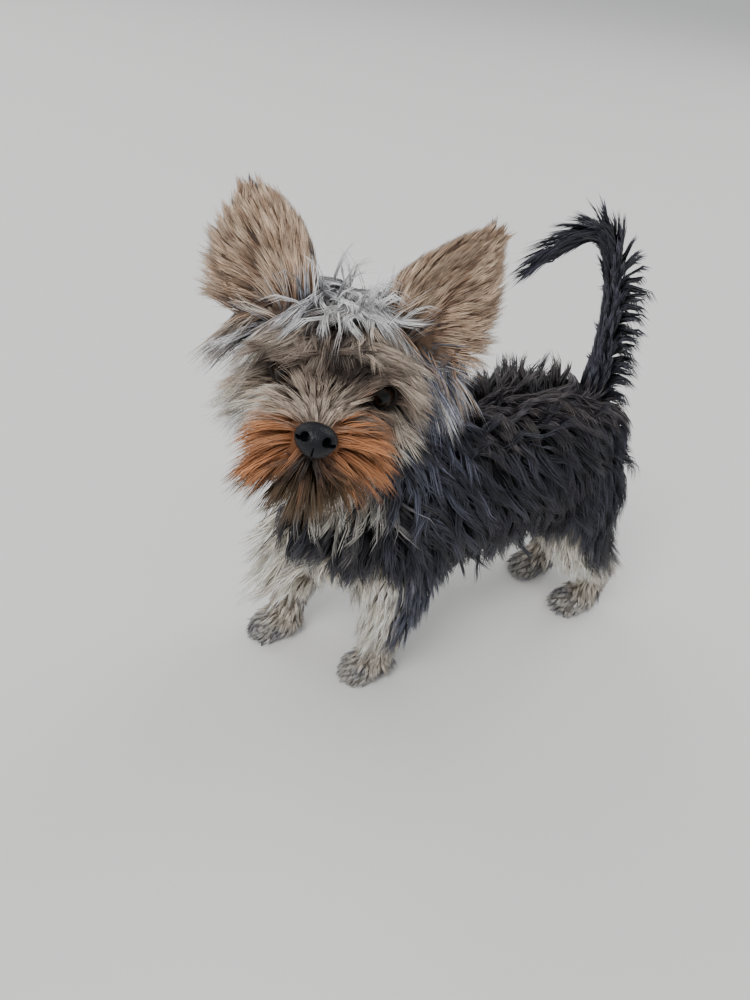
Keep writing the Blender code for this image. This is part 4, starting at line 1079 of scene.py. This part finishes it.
NOSE_AT = Vector((0, -0.0345, -0.0090))
bm = bmesh.new()
place_ball(bm, NOSE_AT, (0.0078, 0.0064, 0.0064), HEAD, 32, 24)
for vert in bm.verts:
    spot = HEAD.inverted() @ vert.co - NOSE_AT
    spot.x *= 1 + 22 * spot.z
    vert.co = HEAD @ (NOSE_AT + spot)
nose = new_object("nose", bm)
bm = bmesh.new()
for sign in (1, -1):
    turned = HEAD @ Matrix.Translation(NOSE_AT + Vector((sign * 0.0042, -0.0048, 0.0026))) @ (
        Matrix.Rotation(sign * math.radians(25), 4, "Z") @ Matrix.Rotation(math.radians(-20), 4, "X"))
    place_ball(bm, (0, 0, 0), (0.0020, 0.0048, 0.0019), turned)
    place_ball(bm, (sign * 0.0025, 0.001, -0.0012), (0.0017, 0.0034, 0.0008), turned)
place_ball(bm, NOSE_AT + Vector((0, -0.0067, -0.0036)), (0.00035, 0.0030, 0.0038), HEAD)
holes = new_object("nostrils", bm)
cut = nose.modifiers.new("nostrils", "BOOLEAN")
cut.operation, cut.object, cut.solver = "DIFFERENCE", holes, "EXACT"
cut.use_self = True
finished(nose)
bpy.data.objects.remove(holes)
nose.data.shade_smooth()
nose.data.materials.append(nose_material())
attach(nose, "root")
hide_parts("nose")

claw_finish, _, _ = material("claws", (0.03, 0.022, 0.018), 0.35)
bm = bmesh.new()
for name, (halves, line, (x, y)) in LEGS.items():
    for toe in (-1.5, -0.5, 0.5, 1.5):
        spot = Vector((x + toe * 0.0047, y - 0.0105 + 0.0016 * toe**2 - 0.0052, 0.0036))
        turn = PLACE @ Matrix.Translation(spot) @ Matrix.Rotation(math.radians(118), 4, "X")
        bmesh.ops.create_cone(bm, cap_ends=True, segments=8, radius1=0.0011, radius2=0.0002,
                              depth=0.0042, matrix=turn)
claws = new_object("claws", bm)
claws.data.shade_smooth()
claws.data.materials.append(claw_finish)
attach(claws, "root")

# Coat

STRANDS = 95000
MOST = 195000
finish = hair_material()
spots, normals, plan, paths, nearest = grow(skin, STRANDS, 11, chance)
roots = atlas(plan)
SHORT, LONG = np.quantile(plan["length"], (0.32, 0.74))
strips = {}
for rings, low, high in ((4, LONG, 1), (3, SHORT, LONG), (2, 0, SHORT)):
    chosen = (plan["length"] >= low) & (plan["length"] < high)
    own = {key: value[chosen] for key, value in plan.items()}
    points, broad, thin, t = strands(spots[chosen], normals[chosen], own, paths, nearest[chosen],
                                     chance, rings)
    tints = tinted(own, t, nearest[chosen], chance)
    keep = off_the_eyes(points, chance)
    order = np.flatnonzero(keep)
    order = order[np.argsort(own["index"][order], kind="stable")]
    each = MOST // (6 * rings - 2)
    for i in range(0, len(order), each):
        part = order[i:i + each]
        strips[f"coat_{len(strips) + 1}"] = part.size
        piece = coat_piece(f"coat_{len(strips)}", points[part], broad[part], thin[part], t,
                           tints[part], own["width"][part], roots[chosen][part], finish)
        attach(piece, "root")
        "black_coat" if own["index"][part].mean() < 1 else "cream_coat"

# Floor, light and camera

floor_mesh = bmesh.new()
bmesh.ops.create_grid(floor_mesh, x_segments=1, y_segments=1, size=6)
floor = new_object("floor", floor_mesh)
floor.data.materials.append(material("floor", (0.72, 0.71, 0.69), 0.8)[0])


def area_light(name, place, size, power, aim=(0, 0, 0.13)):
    data = bpy.data.lights.new(name, "AREA")
    data.size, data.energy = size, power
    light = bpy.data.objects.new(name, data)
    light.location = place
    light.rotation_euler = (Vector(aim) - Vector(place)).to_track_quat("-Z", "Y").to_euler()
    bpy.context.scene.collection.objects.link(light)
    return light


key = area_light("key", (0.9, -1.6, 2.6), 1.3, 62)
fill = area_light("fill", (-2.0, -0.6, 1.6), 2.0, 16)
rim = area_light("rim", (-0.6, 2.2, 2.0), 1.6, 24)
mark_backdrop(floor, key, fill, rim)
world = bpy.data.worlds.new("studio")
world.use_nodes = True
world.node_tree.nodes["Background"].inputs["Color"].default_value = (0.88, 0.90, 0.93, 1)
world.node_tree.nodes["Background"].inputs["Strength"].default_value = 0.75
bpy.context.scene.world = world

lens = bpy.data.cameras.new("camera")
lens.lens, lens.sensor_width, lens.clip_start = 27.18, 36, 0.01
camera = bpy.data.objects.new("camera", lens)
right = Vector((0.40676, 0.9072, 0.10739))
above = Vector((-0.61755, 0.18644, 0.76412))
ahead = Vector((-0.67318, 0.37713, -0.63608))
turn = Matrix((right, above, -ahead)).transposed().to_4x4()
camera.matrix_world = Matrix.Translation(PLACE @ Vector((0.2517, -0.2043, 0.345))) @ turn
bpy.context.scene.collection.objects.link(camera)
bpy.context.scene.camera = camera

low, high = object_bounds()
